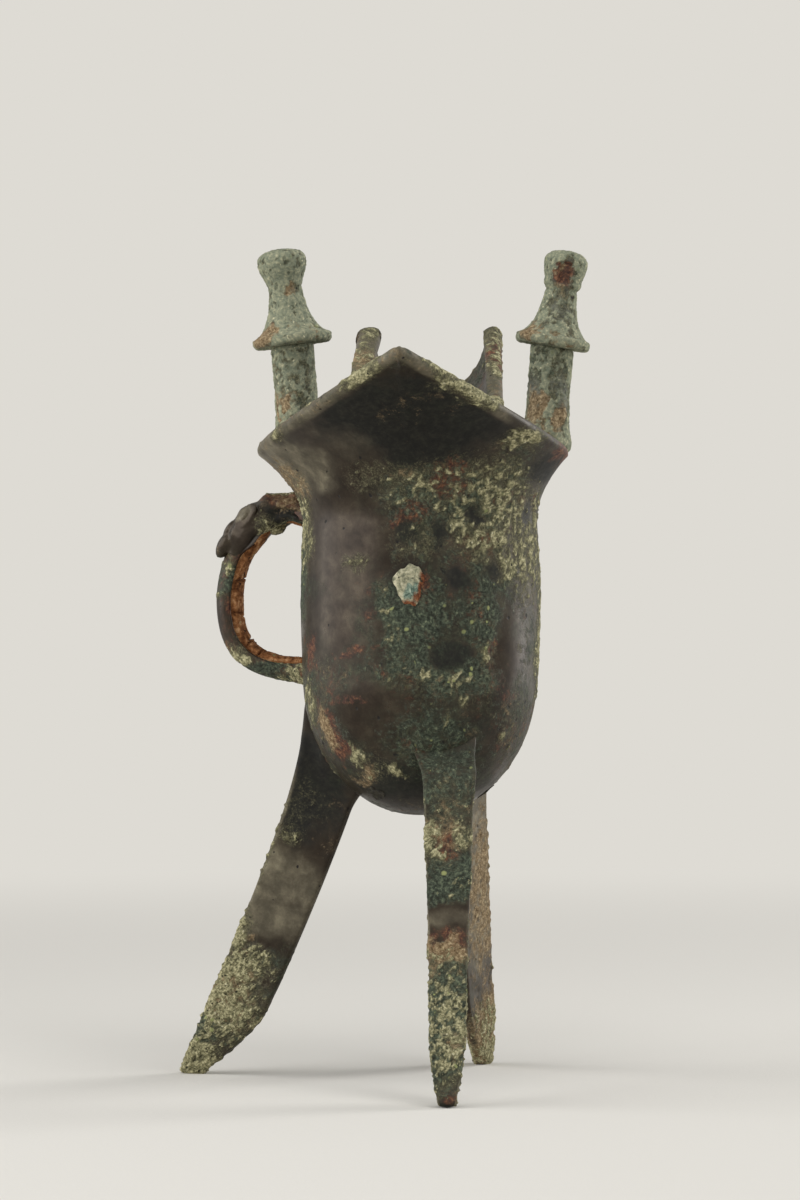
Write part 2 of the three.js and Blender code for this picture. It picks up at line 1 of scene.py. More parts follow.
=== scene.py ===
"""A bronze jue wine vessel: the castings of the CAD frame made fine, corroded and lit as in a studio.

Sizes are millimetres in the vessel's own frame, whose z axis is the cup's and whose floor is z = 0. The
spout points to +Y, the tail to -Y, the handle to -X. Meshes are made in metres, in the CAD model's frame.
"""

import logging
import math
from dataclasses import dataclass, field
from enum import Enum
from typing import Callable

import bpy
import numpy as np
from mathutils import Matrix, Vector
from mathutils.kdtree import KDTree


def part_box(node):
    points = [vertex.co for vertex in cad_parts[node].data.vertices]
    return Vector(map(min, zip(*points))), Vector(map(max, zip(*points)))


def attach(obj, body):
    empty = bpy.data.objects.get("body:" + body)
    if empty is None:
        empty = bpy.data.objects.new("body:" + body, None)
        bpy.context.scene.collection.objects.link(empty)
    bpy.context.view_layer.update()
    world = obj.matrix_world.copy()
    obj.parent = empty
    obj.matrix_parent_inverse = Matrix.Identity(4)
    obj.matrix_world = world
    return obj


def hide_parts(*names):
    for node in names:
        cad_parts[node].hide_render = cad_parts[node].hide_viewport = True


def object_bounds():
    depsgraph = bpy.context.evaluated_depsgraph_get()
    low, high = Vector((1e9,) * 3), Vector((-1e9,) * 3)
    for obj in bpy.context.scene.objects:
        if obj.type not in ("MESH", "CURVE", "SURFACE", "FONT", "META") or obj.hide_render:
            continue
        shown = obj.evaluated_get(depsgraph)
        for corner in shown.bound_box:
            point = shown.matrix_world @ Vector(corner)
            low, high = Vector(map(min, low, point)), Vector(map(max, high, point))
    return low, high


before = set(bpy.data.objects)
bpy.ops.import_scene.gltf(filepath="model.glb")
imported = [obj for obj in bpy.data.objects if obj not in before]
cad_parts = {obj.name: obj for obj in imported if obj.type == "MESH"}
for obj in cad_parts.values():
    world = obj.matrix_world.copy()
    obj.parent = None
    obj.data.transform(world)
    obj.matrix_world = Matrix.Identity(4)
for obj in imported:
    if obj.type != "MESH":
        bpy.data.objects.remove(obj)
cad_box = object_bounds()

log = logging.getLogger("jue")

MM = 0.001
BRONZE, CRUSTED, CLAY, SPACER = "patinated_bronze", "crusted_bronze", "fired_clay", "spacer_bronze"
PALE = "dedbd4"  # the paper's and the backdrop's colour
WARP_SIZE = 7  # width of the lumps that bend the patches' outlines
WARP_REACH = 2.2  # how far they bend them
UNEVEN_SIZE = 11  # width of the lumps in a growth's usual strength
UNEVEN_PART = 0.16  # how much that strength changes
FADE = (0.25, 1.4)  # where a patch starts and stops fading, in reaches
UNDER_BLACK = 0.75  # how much of what is under it the black layer takes away, black patina and painted shade alike
Array = np.ndarray
Tree = bpy.types.NodeTree
Socket = bpy.types.NodeSocket
Piece = bpy.types.Object
Place = tuple[float, float, float]


class Growth(Enum):
    """What has grown on the bronze in the ground, and the painted shade that the black layer also carries,
    each kept as an attribute of the mesh.
    """

    CRUST = "crust"  # pale, rough and raised
    VERDIGRIS = "verdigris"  # teal and green, thin and grainy
    CUPRITE = "cuprite"  # oxblood to orange, thin
    SOIL = "soil"  # tan earth that has set hard
    FILM = "film"  # smooth grey-tan bloom
    BLACK = "black"  # near-black patina, thin and even; under the tail, on the belly's bottom, under the rim and on a leg's top it is painted shade
    BARE = "bare"  # smooth metal that nothing covers


CRUST, VERDIGRIS, CUPRITE, SOIL, FILM, BLACK, BARE = Growth


@dataclass(frozen=True)
class Patch:
    """A place where one growth is strong, fading out over its reach along each axis."""

    growth: Growth
    place: Place
    reach: Place
    strength: float = 1.0


# Small tools for numbers and meshes


def smooth_step(value: Array, low: float, high: float) -> Array:
    """An eased climb from 0 at low to 1 at high."""
    share = np.clip((value - low) / (high - low), 0, 1)
    return share * share * (3 - 2 * share)


def mix(a: Array, b: Array, share: Array) -> Array:
    """The value a share of the way from a to b."""
    return a + (b - a) * share


def lump_noise(points: Array, size: float, seed: int) -> Array:
    """Smooth noise at points, with the same result on every run.

    Args:
        points: places in mm, one a row.
        size: the width of its lumps in mm.
        seed: picks one of many patterns.

    Returns:
        A value from -1 to 1 for each point.
    """
    scaled = points / size
    cell = np.floor(scaled).astype(np.int64)
    ease = smooth_step(scaled - cell, 0, 1)
    total = np.zeros(len(points))
    for corner in np.ndindex(2, 2, 2):
        at = cell + corner
        mixed = at[:, 0] * 73856093 ^ at[:, 1] * 19349663 ^ at[:, 2] * 83492791 ^ seed * 49979687
        mixed = (mixed ^ (mixed >> 13)) * 1274126177
        value = ((mixed ^ (mixed >> 16)) & 0xFFFF) / 32767.5 - 1
        total += np.prod(np.where(corner, ease, 1 - ease), axis=1) * value
    return total


def rough_noise(points: Array, size: float, seed: int, octaves: int = 3) -> Array:
    """Lump noise with finer lumps added at half the size and height, a few times over."""
    return sum(lump_noise(points, size / 2**k, seed + k) / 2**k for k in range(octaves))


def bezier(corners: Array, share: Array) -> Array:
    """Points on a cubic Bezier curve.

    Args:
        corners: its four control points, one a row.
        share: where on the curve, from 0 to 1.

    Returns:
        One point a row.
    """
    t = np.asarray(share, float)[:, None]
    a, b, c, d = np.asarray(corners, float)
    return a * (1 - t) ** 3 + 3 * b * t * (1 - t) ** 2 + 3 * c * t * t * (1 - t) + d * t**3


def hump(value: Array, middle: float, width: float) -> Array:
    """A bell curve: 1 at its middle, and about a third at a width from it."""
    return np.exp(-(((value - middle) / width) ** 2))


def unit(vectors: Array) -> Array:
    """Vectors brought to a length of 1."""
    return vectors / np.maximum(np.linalg.norm(vectors, axis=-1, keepdims=True), 1e-12)


def near_tree(points: Array) -> KDTree:
    """A tree that finds the nearest of some points."""
    tree = KDTree(len(points))
    for k, place in enumerate(points):
        tree.insert(place, k)
    tree.balance()
    return tree


def put_in_scene(name: str, data: bpy.types.ID) -> Piece:
    """A mesh, lamp or camera as an object in the scene."""
    made = bpy.data.objects.new(name, data)
    bpy.context.scene.collection.objects.link(made)
    return made


def grid_faces(rows: int, columns: int, closed: bool, start: int = 0) -> Array:
    """The four-sided faces of a grid of points.

    Args:
        rows: how many rows of points it has.
        columns: how many points a row has.
        closed: whether the last column joins the first.
        start: the index of the first point.

    Returns:
        Four indices a row, which turn anticlockwise where columns run to the right and rows upwards.
    """
    right = np.arange(columns) + 1
    right = right % columns if closed else right[:-1]
    left = np.arange(len(right))
    row = np.arange(rows - 1)[:, None] * columns + start
    corners = [row + left, row + right, row + right + columns, row + left + columns]
    return np.stack([c.ravel() for c in corners], axis=1)


def face_normals(points: Array, faces: Array) -> Array:
    """The outward normal at each point of a mesh of four-sided faces, weighted by their areas."""
    a, b, c, d = (points[faces[:, k]] for k in range(4))
    across = np.cross(c - a, d - b)
    total = np.zeros_like(points)
    for k in range(4):
        np.add.at(total, faces[:, k], across)
    return unit(total)


def soften(outline: Array, passes: int) -> Array:
    """A closed outline with each point moved towards the middle of its neighbours, a few times over."""
    for _ in range(passes):
        outline = 0.5 * outline + 0.25 * (np.roll(outline, 1, axis=0) + np.roll(outline, -1, axis=0))
    return outline


def along_sides(corners: list[tuple[float, float]], shares: Array) -> Array:
    """Softened points of a closed outline, each given as a side's number plus a share of that side."""
    ring = np.asarray(corners, float)
    sides = np.roll(ring, -1, axis=0) - ring
    whole = shares.astype(int)
    return soften(ring[whole] + sides[whole] * (shares - whole)[:, None], 2)


def round_outline(corners: list[tuple[float, float]], spacing: float, passes: int) -> Array:
    """A closed outline with even points and rounded corners.

    Args:
        corners: the outline's corners in order.
        spacing: the distance between points.
        passes: how often each point is moved towards the middle of its neighbours.

    Returns:
        The outline's points, two numbers a row.
    """
    ring = np.asarray(corners, float)
    following = np.roll(ring, -1, axis=0)
    lengths = np.linalg.norm(following - ring, axis=1)
    count = max(int(round(lengths.sum() / spacing)), 12)
    stations = np.linspace(0, lengths.sum(), count, endpoint=False)
    starts = np.concatenate([[0], np.cumsum(lengths)])
    side = np.clip(np.searchsorted(starts, stations, side="right") - 1, 0, len(ring) - 1)
    share = (stations - starts[side]) / np.maximum(lengths[side], 1e-9)
    return soften(mix(ring[side], following[side], share[:, None]), passes)


@dataclass
class Shell:
    """A mesh in the making: its points in mm in the vessel's frame, and its faces."""

    points: Array
    faces: list[Array] = field(default_factory=list)

    def add(self, points: Array) -> Array:
        """Adds points and returns their indices."""
        start = len(self.points)
        self.points = np.vstack([self.points, points])
        return np.arange(start, start + len(points))

    def volume(self) -> float:
        """The volume inside the faces, which is negative where they point inwards."""
        total = 0.0
        for block in self.faces:
            for k in range(1, block.shape[1] - 1):
                a, b, c = (self.points[block[:, i]] for i in (0, k, k + 1))
                total += float(np.einsum("ij,ij->", a, np.cross(b, c))) / 6
        return total

    def join(self, other: "Shell") -> None:
        """Takes another shell's points and faces in."""
        offset = self.add(other.points)[0]
        self.faces += [block + offset for block in other.faces]

    def object(self, name: str) -> Piece:
        """The mesh as an object in metres, in the CAD model's frame, shaded smooth."""
        mesh = bpy.data.meshes.new(name)
        outwards = 1 if self.volume() > 0 else -1
        faces = [face[::outwards] for block in self.faces for face in np.asarray(block).tolist()]
        mesh.from_pydata(((self.points + CUP_AXIS) * MM).tolist(), [], faces)
        mesh.validate()
        mesh.shade_smooth()
        return put_in_scene(name, mesh)


def tube_shell(rings: Array) -> Shell:
    """A closed shell through rings of points, each end closed by a fan.

    Args:
        rings: an array of ring, point and coordinate. A ring turns anticlockwise seen from the last ring.

    Returns:
        The shell, its faces pointing outwards.
    """
    count, sides, _ = rings.shape
    shell = Shell(rings.reshape(-1, 3), [grid_faces(count, sides, True)])
    for ring, turned in ((0, True), (count - 1, False)):
        hub = shell.add(rings[ring].mean(axis=0, keepdims=True))[0]
        near = np.arange(sides) + ring * sides
        far = np.roll(near, -1)
        middle = np.full(sides, hub)
        order = [far, near, middle] if turned else [near, far, middle]
        shell.faces.append(np.stack(order, axis=1))
    return shell


def lathe_shell(
    profile: Array, sides: int, place: Matrix, carve: Callable[[Array], Array] | None = None,
) -> Shell:
    """A closed turned shell.

    Args:
        profile: radius and height of its points, bottom to top outside, first and last on the axis.
        sides: points round each ring.
        place: where its axis stands, as a matrix in mm.
        carve: moves the points, in the axis's own frame, before the shell is put in its place.

    Returns:
        The shell, its faces pointing outwards.
    """
    turn = np.linspace(0, 2 * math.pi, sides, endpoint=False)
    radius, height = profile[1:-1, 0], profile[1:-1, 1]
    rings = np.stack(
        [
            radius[:, None] * np.cos(turn), radius[:, None] * np.sin(turn),
            np.broadcast_to(height[:, None], (len(radius), sides)),
        ],
        axis=2,
    )
    shell = tube_shell(rings)
    shell.points[-2] = (0, 0, profile[0, 1])
    shell.points[-1] = (0, 0, profile[-1, 1])
    if carve is not None:
        shell.points = carve(shell.points)
    spin, shift = np.array(place.to_3x3()), np.array(place.translation)
    shell.points = shell.points @ spin.T + shift
    return shell


def even_profile(corners: list[tuple[float, float]], spacing: float, passes: int = 2) -> Array:
    """A profile with even points and softened corners, its two ends kept.

    Args:
        corners: radius and height of its corners.
        spacing: the distance between points.
        passes: how often each point is moved towards the middle of its neighbours.

    Returns:
        Radius and height, one point a row.
    """
    ends = np.asarray(corners, float)
    lengths = np.linalg.norm(np.diff(ends, axis=0), axis=1)
    starts = np.concatenate([[0], np.cumsum(lengths)])
    stations = np.linspace(0, starts[-1], max(int(starts[-1] / spacing), 8))
    profile = np.stack([np.interp(stations, starts, ends[:, k]) for k in range(2)], axis=1)
    for _ in range(passes):
        profile[1:-1] = 0.5 * profile[1:-1] + 0.25 * (profile[:-2] + profile[2:])
    return profile


# The forms that several pieces share


@dataclass(frozen=True)
class Cup:
    """The cup's outer form: an egg-shaped base under a nearly straight wall."""

    underside: float = 66
    base_depth: float = 34
    wall_height: float = 38
    radius: float = 28.9
    bulge: float = 0.6
    wall: float = 2.6

    @property
    def wall_foot(self) -> float:
        """The height where base and wall meet."""
        return self.underside + self.base_depth

    @property
    def wall_top(self) -> float:
        """The height where the wall starts to flare."""
        return self.wall_foot + self.wall_height

    def radius_at(self, height: Array) -> Array:
        """The outer radius at a height of the base or wall."""
        up = np.clip((height - self.underside) / self.base_depth, 0, 1)
        swell = np.clip((height - self.wall_foot) / self.wall_height, 0, 1)
        return self.radius * np.sqrt(1 - (1 - up) ** 2) + self.bulge * np.sin(math.pi * swell)

    def spot(self, angle: float, height: float) -> Place:
        """A place on the outer wall, at an angle in degrees round the cup."""
        radius = float(self.radius_at(np.array(height)))
        turn = math.radians(angle)
        return (radius * math.cos(turn), radius * math.sin(turn), height)

    def closeness(self, points: Array, depth: float) -> Array:
        """How far points are out from a surface inside the wall, as a factor: 1 on it and more outside.

        Args:
            points: places in mm.
            depth: how deep the surface lies under the wall's outer face.
        """
        round_radius = self.radius - depth
        down = np.minimum(points[:, 2] - self.wall_foot, 0) / (self.base_depth - depth)
        return np.sqrt((points[:, 0] ** 2 + points[:, 1] ** 2) / round_radius**2 + down**2)

    def keep_outside(self, points: Array, depth: float) -> Array:
        """Moves points inside the cup out to a surface inside its wall, so that none shows in the cup."""
        factor = np.maximum(self.closeness(points, depth), 0.05)
        stretch = np.where(factor < 1, 1 / factor, 1.0)
        moved = points.copy()
        moved[:, :2] *= stretch[:, None]
        below = points[:, 2] < self.wall_foot
        moved[below, 2] = self.wall_foot + (points[below, 2] - self.wall_foot) * stretch[below]
        return moved


@dataclass(frozen=True)
class Mouth:
    """The mouth's edge: tail, shoulders that carry the posts, and the spout with its lip."""

    cup: Cup = Cup()
    shift: float = -1.6
    flare_rise: float = 17
    flare_reach: float = 10
    corner_y: float = -3
    tail_reach: float = 65
    tail_rise: float = 21
    tip_half: float = 1.9
    spout_reach: float = 96
    spout_rise: float = 36.5
    lip_half: float = 19.3
    lip_shift: float = -1
    root_half: float = 21.4
    root_reach: float = 36
    root_rise: float = 7
    root_depth: float = 17
    lip_depth: float = 22
    rim_wall: float = 3.3

    @property
    def half_width(self) -> float:
        """Half the mouth's width at its corners."""
        return self.cup.radius + self.flare_reach

    @property
    def saddle(self) -> float:
        """The height of the rim's lowest point."""
        return self.cup.wall_top + self.flare_rise

    def tail_side(self, share: Array) -> Array:
        """The tail's right edge from its tip to the corner."""
        low, high = self.saddle, self.saddle + self.tail_rise
        corners = [
            (self.tip_half, 0.6 * self.tip_half - self.tail_reach, high - 0.3),
            (0.36 * self.half_width, -0.78 * self.tail_reach, mix(low, high, 0.66)),
            (self.half_width, -0.42 * self.tail_reach, mix(low, high, 0.06)),
            (self.half_width, self.corner_y, low),
        ]
        return bezier(corners, share)

    def tail_tip(self, share: Array) -> Array:
        """The tip's blunt end, from its middle to where the right edge starts."""
        side = self.tail_side(np.zeros(1))[0]
        middle = np.array([0, -self.tail_reach, self.saddle + self.tail_rise])
        corners = [middle, (0.45 * side[0], middle[1], middle[2]), mix(middle, side, 0.8), side]
        return bezier(corners, share)

    def shoulder(self, share: Array) -> Array:
        """The right edge from the corner to the spout's root."""
        corners = [
            (self.half_width, self.corner_y, self.saddle),
            (self.half_width, mix(self.corner_y, self.root_reach, 0.38), self.saddle - 0.8),
            (self.root_half + 1.6, mix(self.corner_y, self.root_reach, 0.54), self.saddle + 1.4),
            (self.root_half, self.root_reach, self.saddle + self.root_rise),
        ]
        return bezier(corners, share)

    def trough_root(self, share: Array) -> Array:
        """The section where the spout leaves the cup, from its right edge to its middle."""
        top = self.saddle + self.root_rise
        corners = [
            (self.root_half, self.root_reach, top),
            (0.97 * self.root_half, self.root_reach + 0.5, top - 0.62 * self.root_depth),
            (0.56 * self.root_half, self.root_reach + 2, top - self.root_depth),
            (0, self.root_reach + 2, top - self.root_depth),
        ]
        return bezier(corners, share)

    def lip(self, share: Array) -> Array:
        """The spout's end, from its right edge to its middle."""
        top = self.saddle + self.spout_rise
        corners = [
            (self.lip_half, self.spout_reach, top),
            (self.lip_half, self.spout_reach + 0.8, top - 0.52 * self.lip_depth),
            (0.46 * self.lip_half, self.spout_reach - 0.5, top - self.lip_depth),
            (0, self.spout_reach - 0.5, top - self.lip_depth),
        ]
        return bezier(corners, share)


CUP = Cup()
MOUTH = Mouth()


def cup_axis() -> Array:
    """Where the cup's axis stands in the CAD model's frame, in mm, from the box of the vessel's body."""
    low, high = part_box("vessel_body")
    across = (low.x + high.x) / 2 / MM - MOUTH.shift
    return np.array([across, low.y / MM + MOUTH.tail_reach, 0.0])


CUP_AXIS = cup_axis()


def points_of(piece: Piece) -> Array:
    """A mesh's points in mm, in the vessel's frame."""
    flat = np.zeros(len(piece.data.vertices) * 3, np.float32)
    piece.data.vertices.foreach_get("co", flat)
    return flat.reshape(-1, 3).astype(float) / MM - CUP_AXIS


def growth_of(piece: Piece, growth: Growth) -> Array:
    """How strong a growth is at each of a mesh's points."""
    value = np.zeros(len(piece.data.vertices), np.float32)
    piece.data.attributes[growth.value].data.foreach_get("value", value)
    return value


def set_growth(piece: Piece, growth: Growth, value: Array) -> None:
    """Stores how strong a growth is at each of a mesh's points."""
    kept = piece.data.attributes
    found = kept.get(growth.value) or kept.new(growth.value, "FLOAT", "POINT")
    found.data.foreach_set("value", value.astype(np.float32))


def patches_at(spot: Callable[..., Place], rows: list[tuple]) -> list[Patch]:
    """Patches from rows of growth, place, reach and strength, where spot gives the place in the vessel."""
    return [Patch(growth, spot(*place), reach, strength) for growth, place, reach, strength in rows]


def within(seat: Matrix) -> Callable[..., Place]:
    """A function that brings a place in a seat's frame into the vessel's."""
    return lambda *place: tuple(seat @ Vector(place))


def spread_growths(piece: Piece, patches: list[Patch], base: dict[Growth, float], seed: int) -> None:
    """Stores on a mesh how strong each growth is at each point, from 0 to 1.

    Args:
        piece: a mesh in the CAD model's frame.
        patches: the places where a growth is strong.
        base: how strong each growth is elsewhere.
        seed: picks the unevenness.
    """
    points = points_of(piece)
    warps = [rough_noise(points, WARP_SIZE, seed + 10 * k, octaves=4) for k in range(3)]
    bent = points + WARP_REACH * np.stack(warps, axis=1)
    level = {}
    for k, growth in enumerate(Growth):
        usual = base.get(growth, 0.0)
        uneven = UNEVEN_PART * (usual > 0) * rough_noise(points, UNEVEN_SIZE, seed + 40 + k)
        level[growth] = np.clip(usual + uneven, 0, 1)
    for patch in patches:
        away = np.linalg.norm((bent - patch.place) / patch.reach, axis=1)
        weight = patch.strength * (1 - smooth_step(away, *FADE))
        if patch.growth in (BARE, FILM):
            for other in (CRUST, VERDIGRIS, CUPRITE, SOIL, BLACK):
                level[other] *= 1 - weight
        if patch.growth is BLACK:
            for other in (CRUST, VERDIGRIS, CUPRITE):
                level[other] *= 1 - UNDER_BLACK * weight
        level[patch.growth] = np.maximum(level[patch.growth], weight)
    for growth, value in level.items():
        set_growth(piece, growth, value)


# The castings


@dataclass
class VesselBody:
    """Cup, flared mouth, tail and spout in one casting, made as an outer face with metal behind it."""

    tip_columns: int = 3
    tail_columns: int = 54
    shoulder_columns: int = 30
    trough_columns: int = 30
    base_rows: int = 46
    wall_rows: int = 44
    flare_rows: int = 50
    spout_rows: int = 62
    flare_power: float = 2
    spout_lift: float = 1.2  # how late the spout's edges rise
    spout_rim_wall: float = 3.9
    horn_wall: float = 5.0
    horn_extra: float = 1.8  # how much thicker the horn on the handle's side is
    bead_steps: int = 8  # faces round the rim's edge
    bead_reach: float = 1.7  # how far the edge's round swells out
    horn_reach: float = 0.9  # how much further at the horns
    horn_tall: float = 9  # how far below the spout's tips that starts
    edge_passes: int = 9  # how often the ways out of the edge are evened
    edge_zone: float = 4.5  # how far from the edge points are drawn back, in reaches
    unevenness: float = 0.11

    def half_mouth(self) -> tuple[Array, Array, Array, Array]:
        """The right half's columns: rim, angle round the cup, lip, and closeness to the spout's edge."""
        steps = [self.tip_columns, self.tail_columns, self.shoulder_columns, self.trough_columns]
        tip, tail, shoulder, trough = (np.arange(1, n + 1) / n for n in steps)
        corner, root, first = math.radians(-3), math.radians(44), math.radians(-87.5)
        tip = np.append(0, tip)
        rims = [
            MOUTH.tail_tip(tip), MOUTH.tail_side(tail), MOUTH.shoulder(shoulder),
            MOUTH.trough_root(trough),
        ]
        angles = [
            mix(-math.pi / 2, first, tip), mix(first, corner, tail), mix(corner, root, shoulder),
            mix(root, math.pi / 2, trough),
        ]
        rim, angle = np.vstack(rims), np.concatenate(angles)
        dry = len(angle) - len(trough) - 1
        lip = np.vstack([np.full((dry, 3), np.nan), MOUTH.lip(np.append(0, trough))])
        edge = np.concatenate([np.zeros(dry), (1 - np.append(0, trough)) ** 2])
        return rim, angle, lip, edge

    def columns(self) -> tuple[Array, Array, Array, Array]:
        """All columns, anticlockwise from the tail's tip."""
        rim, angle, lip, edge = self.half_mouth()
        mirror = np.array([-1, 1, 1])
        back = slice(-2, 0, -1)
        rim = np.vstack([rim, rim[back] * mirror])
        lip = np.vstack([lip, lip[back] * mirror])
        rim[:, 0] += MOUTH.shift
        lip[:, 0] += MOUTH.shift + MOUTH.lip_shift
        angle = np.concatenate([angle, math.pi - angle[back]])
        return rim, angle, lip, np.concatenate([edge, edge[back]])

    def face_sheet(self) -> tuple[Array, Array, list[Array], list[int]]:
        """The outer face as an open sheet.

        Returns:
            Its points, the thickness of metal behind each, its faces, and the indices round its open edge.
        """
        rim, angle, lip, edge = self.columns()
        count = len(angle)
        turn = np.stack([np.cos(angle), np.sin(angle)], axis=1)
        dips = np.cos(math.pi / 2 * np.arange(1, self.base_rows + 1) / self.base_rows)
        climbs = np.arange(1, self.wall_rows + 1)
        bowl = CUP.wall_foot - CUP.base_depth * dips
        wall = CUP.wall_foot + CUP.wall_height * climbs / self.wall_rows
        heights = np.concatenate([bowl, wall])
        rows = [np.column_stack([turn * CUP.radius_at(h), np.full(count, h)]) for h in heights]
        walls = [np.full(count, CUP.wall)] * len(rows)
        start = rows[-1]
        dry = np.isnan(lip[:, 0])
        for k in range(1, self.flare_rows + 1):
            v = k / self.flare_rows
            share = np.column_stack([np.full(count, v**self.flare_power)] * 2 + [np.full(count, v)])
            rows.append(mix(start, rim, share))
            walls.append(np.where(dry, mix(CUP.wall, MOUTH.rim_wall, v**3), CUP.wall))
        points = np.vstack([[(0, 0, CUP.underside)], *rows])
        thickness = np.concatenate([[CUP.wall], *walls])
        first = np.arange(count) + 1
        fan = np.stack([np.zeros(count, int), np.roll(first, -1), first], axis=1)
        faces = [fan, grid_faces(len(rows), count, True, start=1)]
        top = 1 + (len(rows) - 1) * count
        wet = np.flatnonzero(~dry)
        base = points[top + wet]
        bands = [top + wet]
        for k in range(1, self.spout_rows + 1):
            w = k / self.spout_rows
            rise = w ** mix(1, self.spout_lift, edge[wet])
            share = np.column_stack([np.full(len(wet), w)] * 2 + [rise])
            bands.append(np.arange(len(points), len(points) + len(wet)))
            points = np.vstack([points, mix(base, lip[wet], share)])
            horn = self.horn_wall + self.horn_extra * (lip[wet, 0] < 0)
            deep = np.maximum(edge[wet] ** 2, w**4)
            full = mix(self.spout_rim_wall, horn, edge[wet] ** 2 * w)
            thickness = np.append(thickness, mix(CUP.wall, full, deep))
        for low, high in zip(bands[:-1], bands[1:]):
            faces.append(np.stack([low[:-1], low[1:], high[1:], high[:-1]], axis=1))
        loop = [top + j for j in range(wet[0] + 1)]
        loop += [band[0] for band in bands[1:]]
        loop += list(bands[-1][1:-1])
        loop += [band[-1] for band in reversed(bands[1:])]
        loop += [top + j for j in range(wet[-1], count)]
        return points, thickness, faces, loop

    def draw_back(self, points: Array, normals: Array, loop: list[int]) -> tuple[Array, Array]:
        """Draws the sheet back from its open edge, to leave room for the edge's round.

        Args:
            points: the sheet's points.
            normals: its outward normals.
            loop: the indices round its open edge.

        Returns:
            The moved points, and which way and how far the edge's round stands out along the loop.
        """
        edge = points[loop]
        along = unit(np.roll(edge, -2, axis=0) - np.roll(edge, 2, axis=0))
        outwards = unit(np.cross(normals[loop], along))
        for _ in range(self.edge_passes):
            outwards = unit(outwards + np.roll(outwards, 1, axis=0) + np.roll(outwards, -1, axis=0))
        reach = self.edge_reach(edge)
        tree = near_tree(edge)
        moved = points.copy()
        for k, place in enumerate(points):
            if place[2] < CUP.wall_top:
                continue
            _, near, away = tree.find(place)
            zone = self.edge_zone * reach[near]
            if away < zone:
                moved[k] -= outwards[near] * reach[near] * (1 - away / zone) ** 2
        return moved, outwards * reach[:, None]

    def edge_reach(self, edge: Array) -> Array:
        """How far the edge's round stands out at each point of the edge, most at the spout's two horns."""
        tip = MOUTH.saddle + MOUTH.spout_rise
        return self.bead_reach + self.horn_reach * smooth_step(edge[:, 2], tip - self.horn_tall, tip - 2)

    def shell(self) -> tuple[Shell, Array]:
        """The closed casting, and how far each of its points is from the rim's edge."""
        points, thickness, faces, loop = self.face_sheet()
        quads = np.vstack([block for block in faces if block.shape[1] == 4])
        normals = face_normals(points, quads)
        normals[0] = (0, 0, -1)
        points, outwards = self.draw_back(points, normals, loop)
        inner = points - normals * thickness[:, None]
        shell = Shell(points, list(faces))
        offset = shell.add(inner)[0]
        shell.faces += [block[:, ::-1] + offset for block in faces]
        centre = (points[loop] + inner[loop]) / 2
        half = (points[loop] - inner[loop]) / 2
        before = np.array(loop)
        for k in range(1, self.bead_steps):
            turn = math.pi * k / self.bead_steps
            ring = shell.add(centre + half * math.cos(turn) + outwards * math.sin(turn))
            shell.faces.append(self.strip(before, ring))
            before = ring
        shell.faces.append(self.strip(before, np.array(loop) + offset))
        tree = near_tree(centre + outwards)
        rim_distance = np.array([tree.find(p)[2] for p in shell.points])
        return shell, rim_distance

    @staticmethod
    def strip(before: Array, after: Array) -> Array:
        """The faces between two closed loops of indices."""
        return np.stack([before, np.roll(before, -1), np.roll(after, -1), after], axis=1)

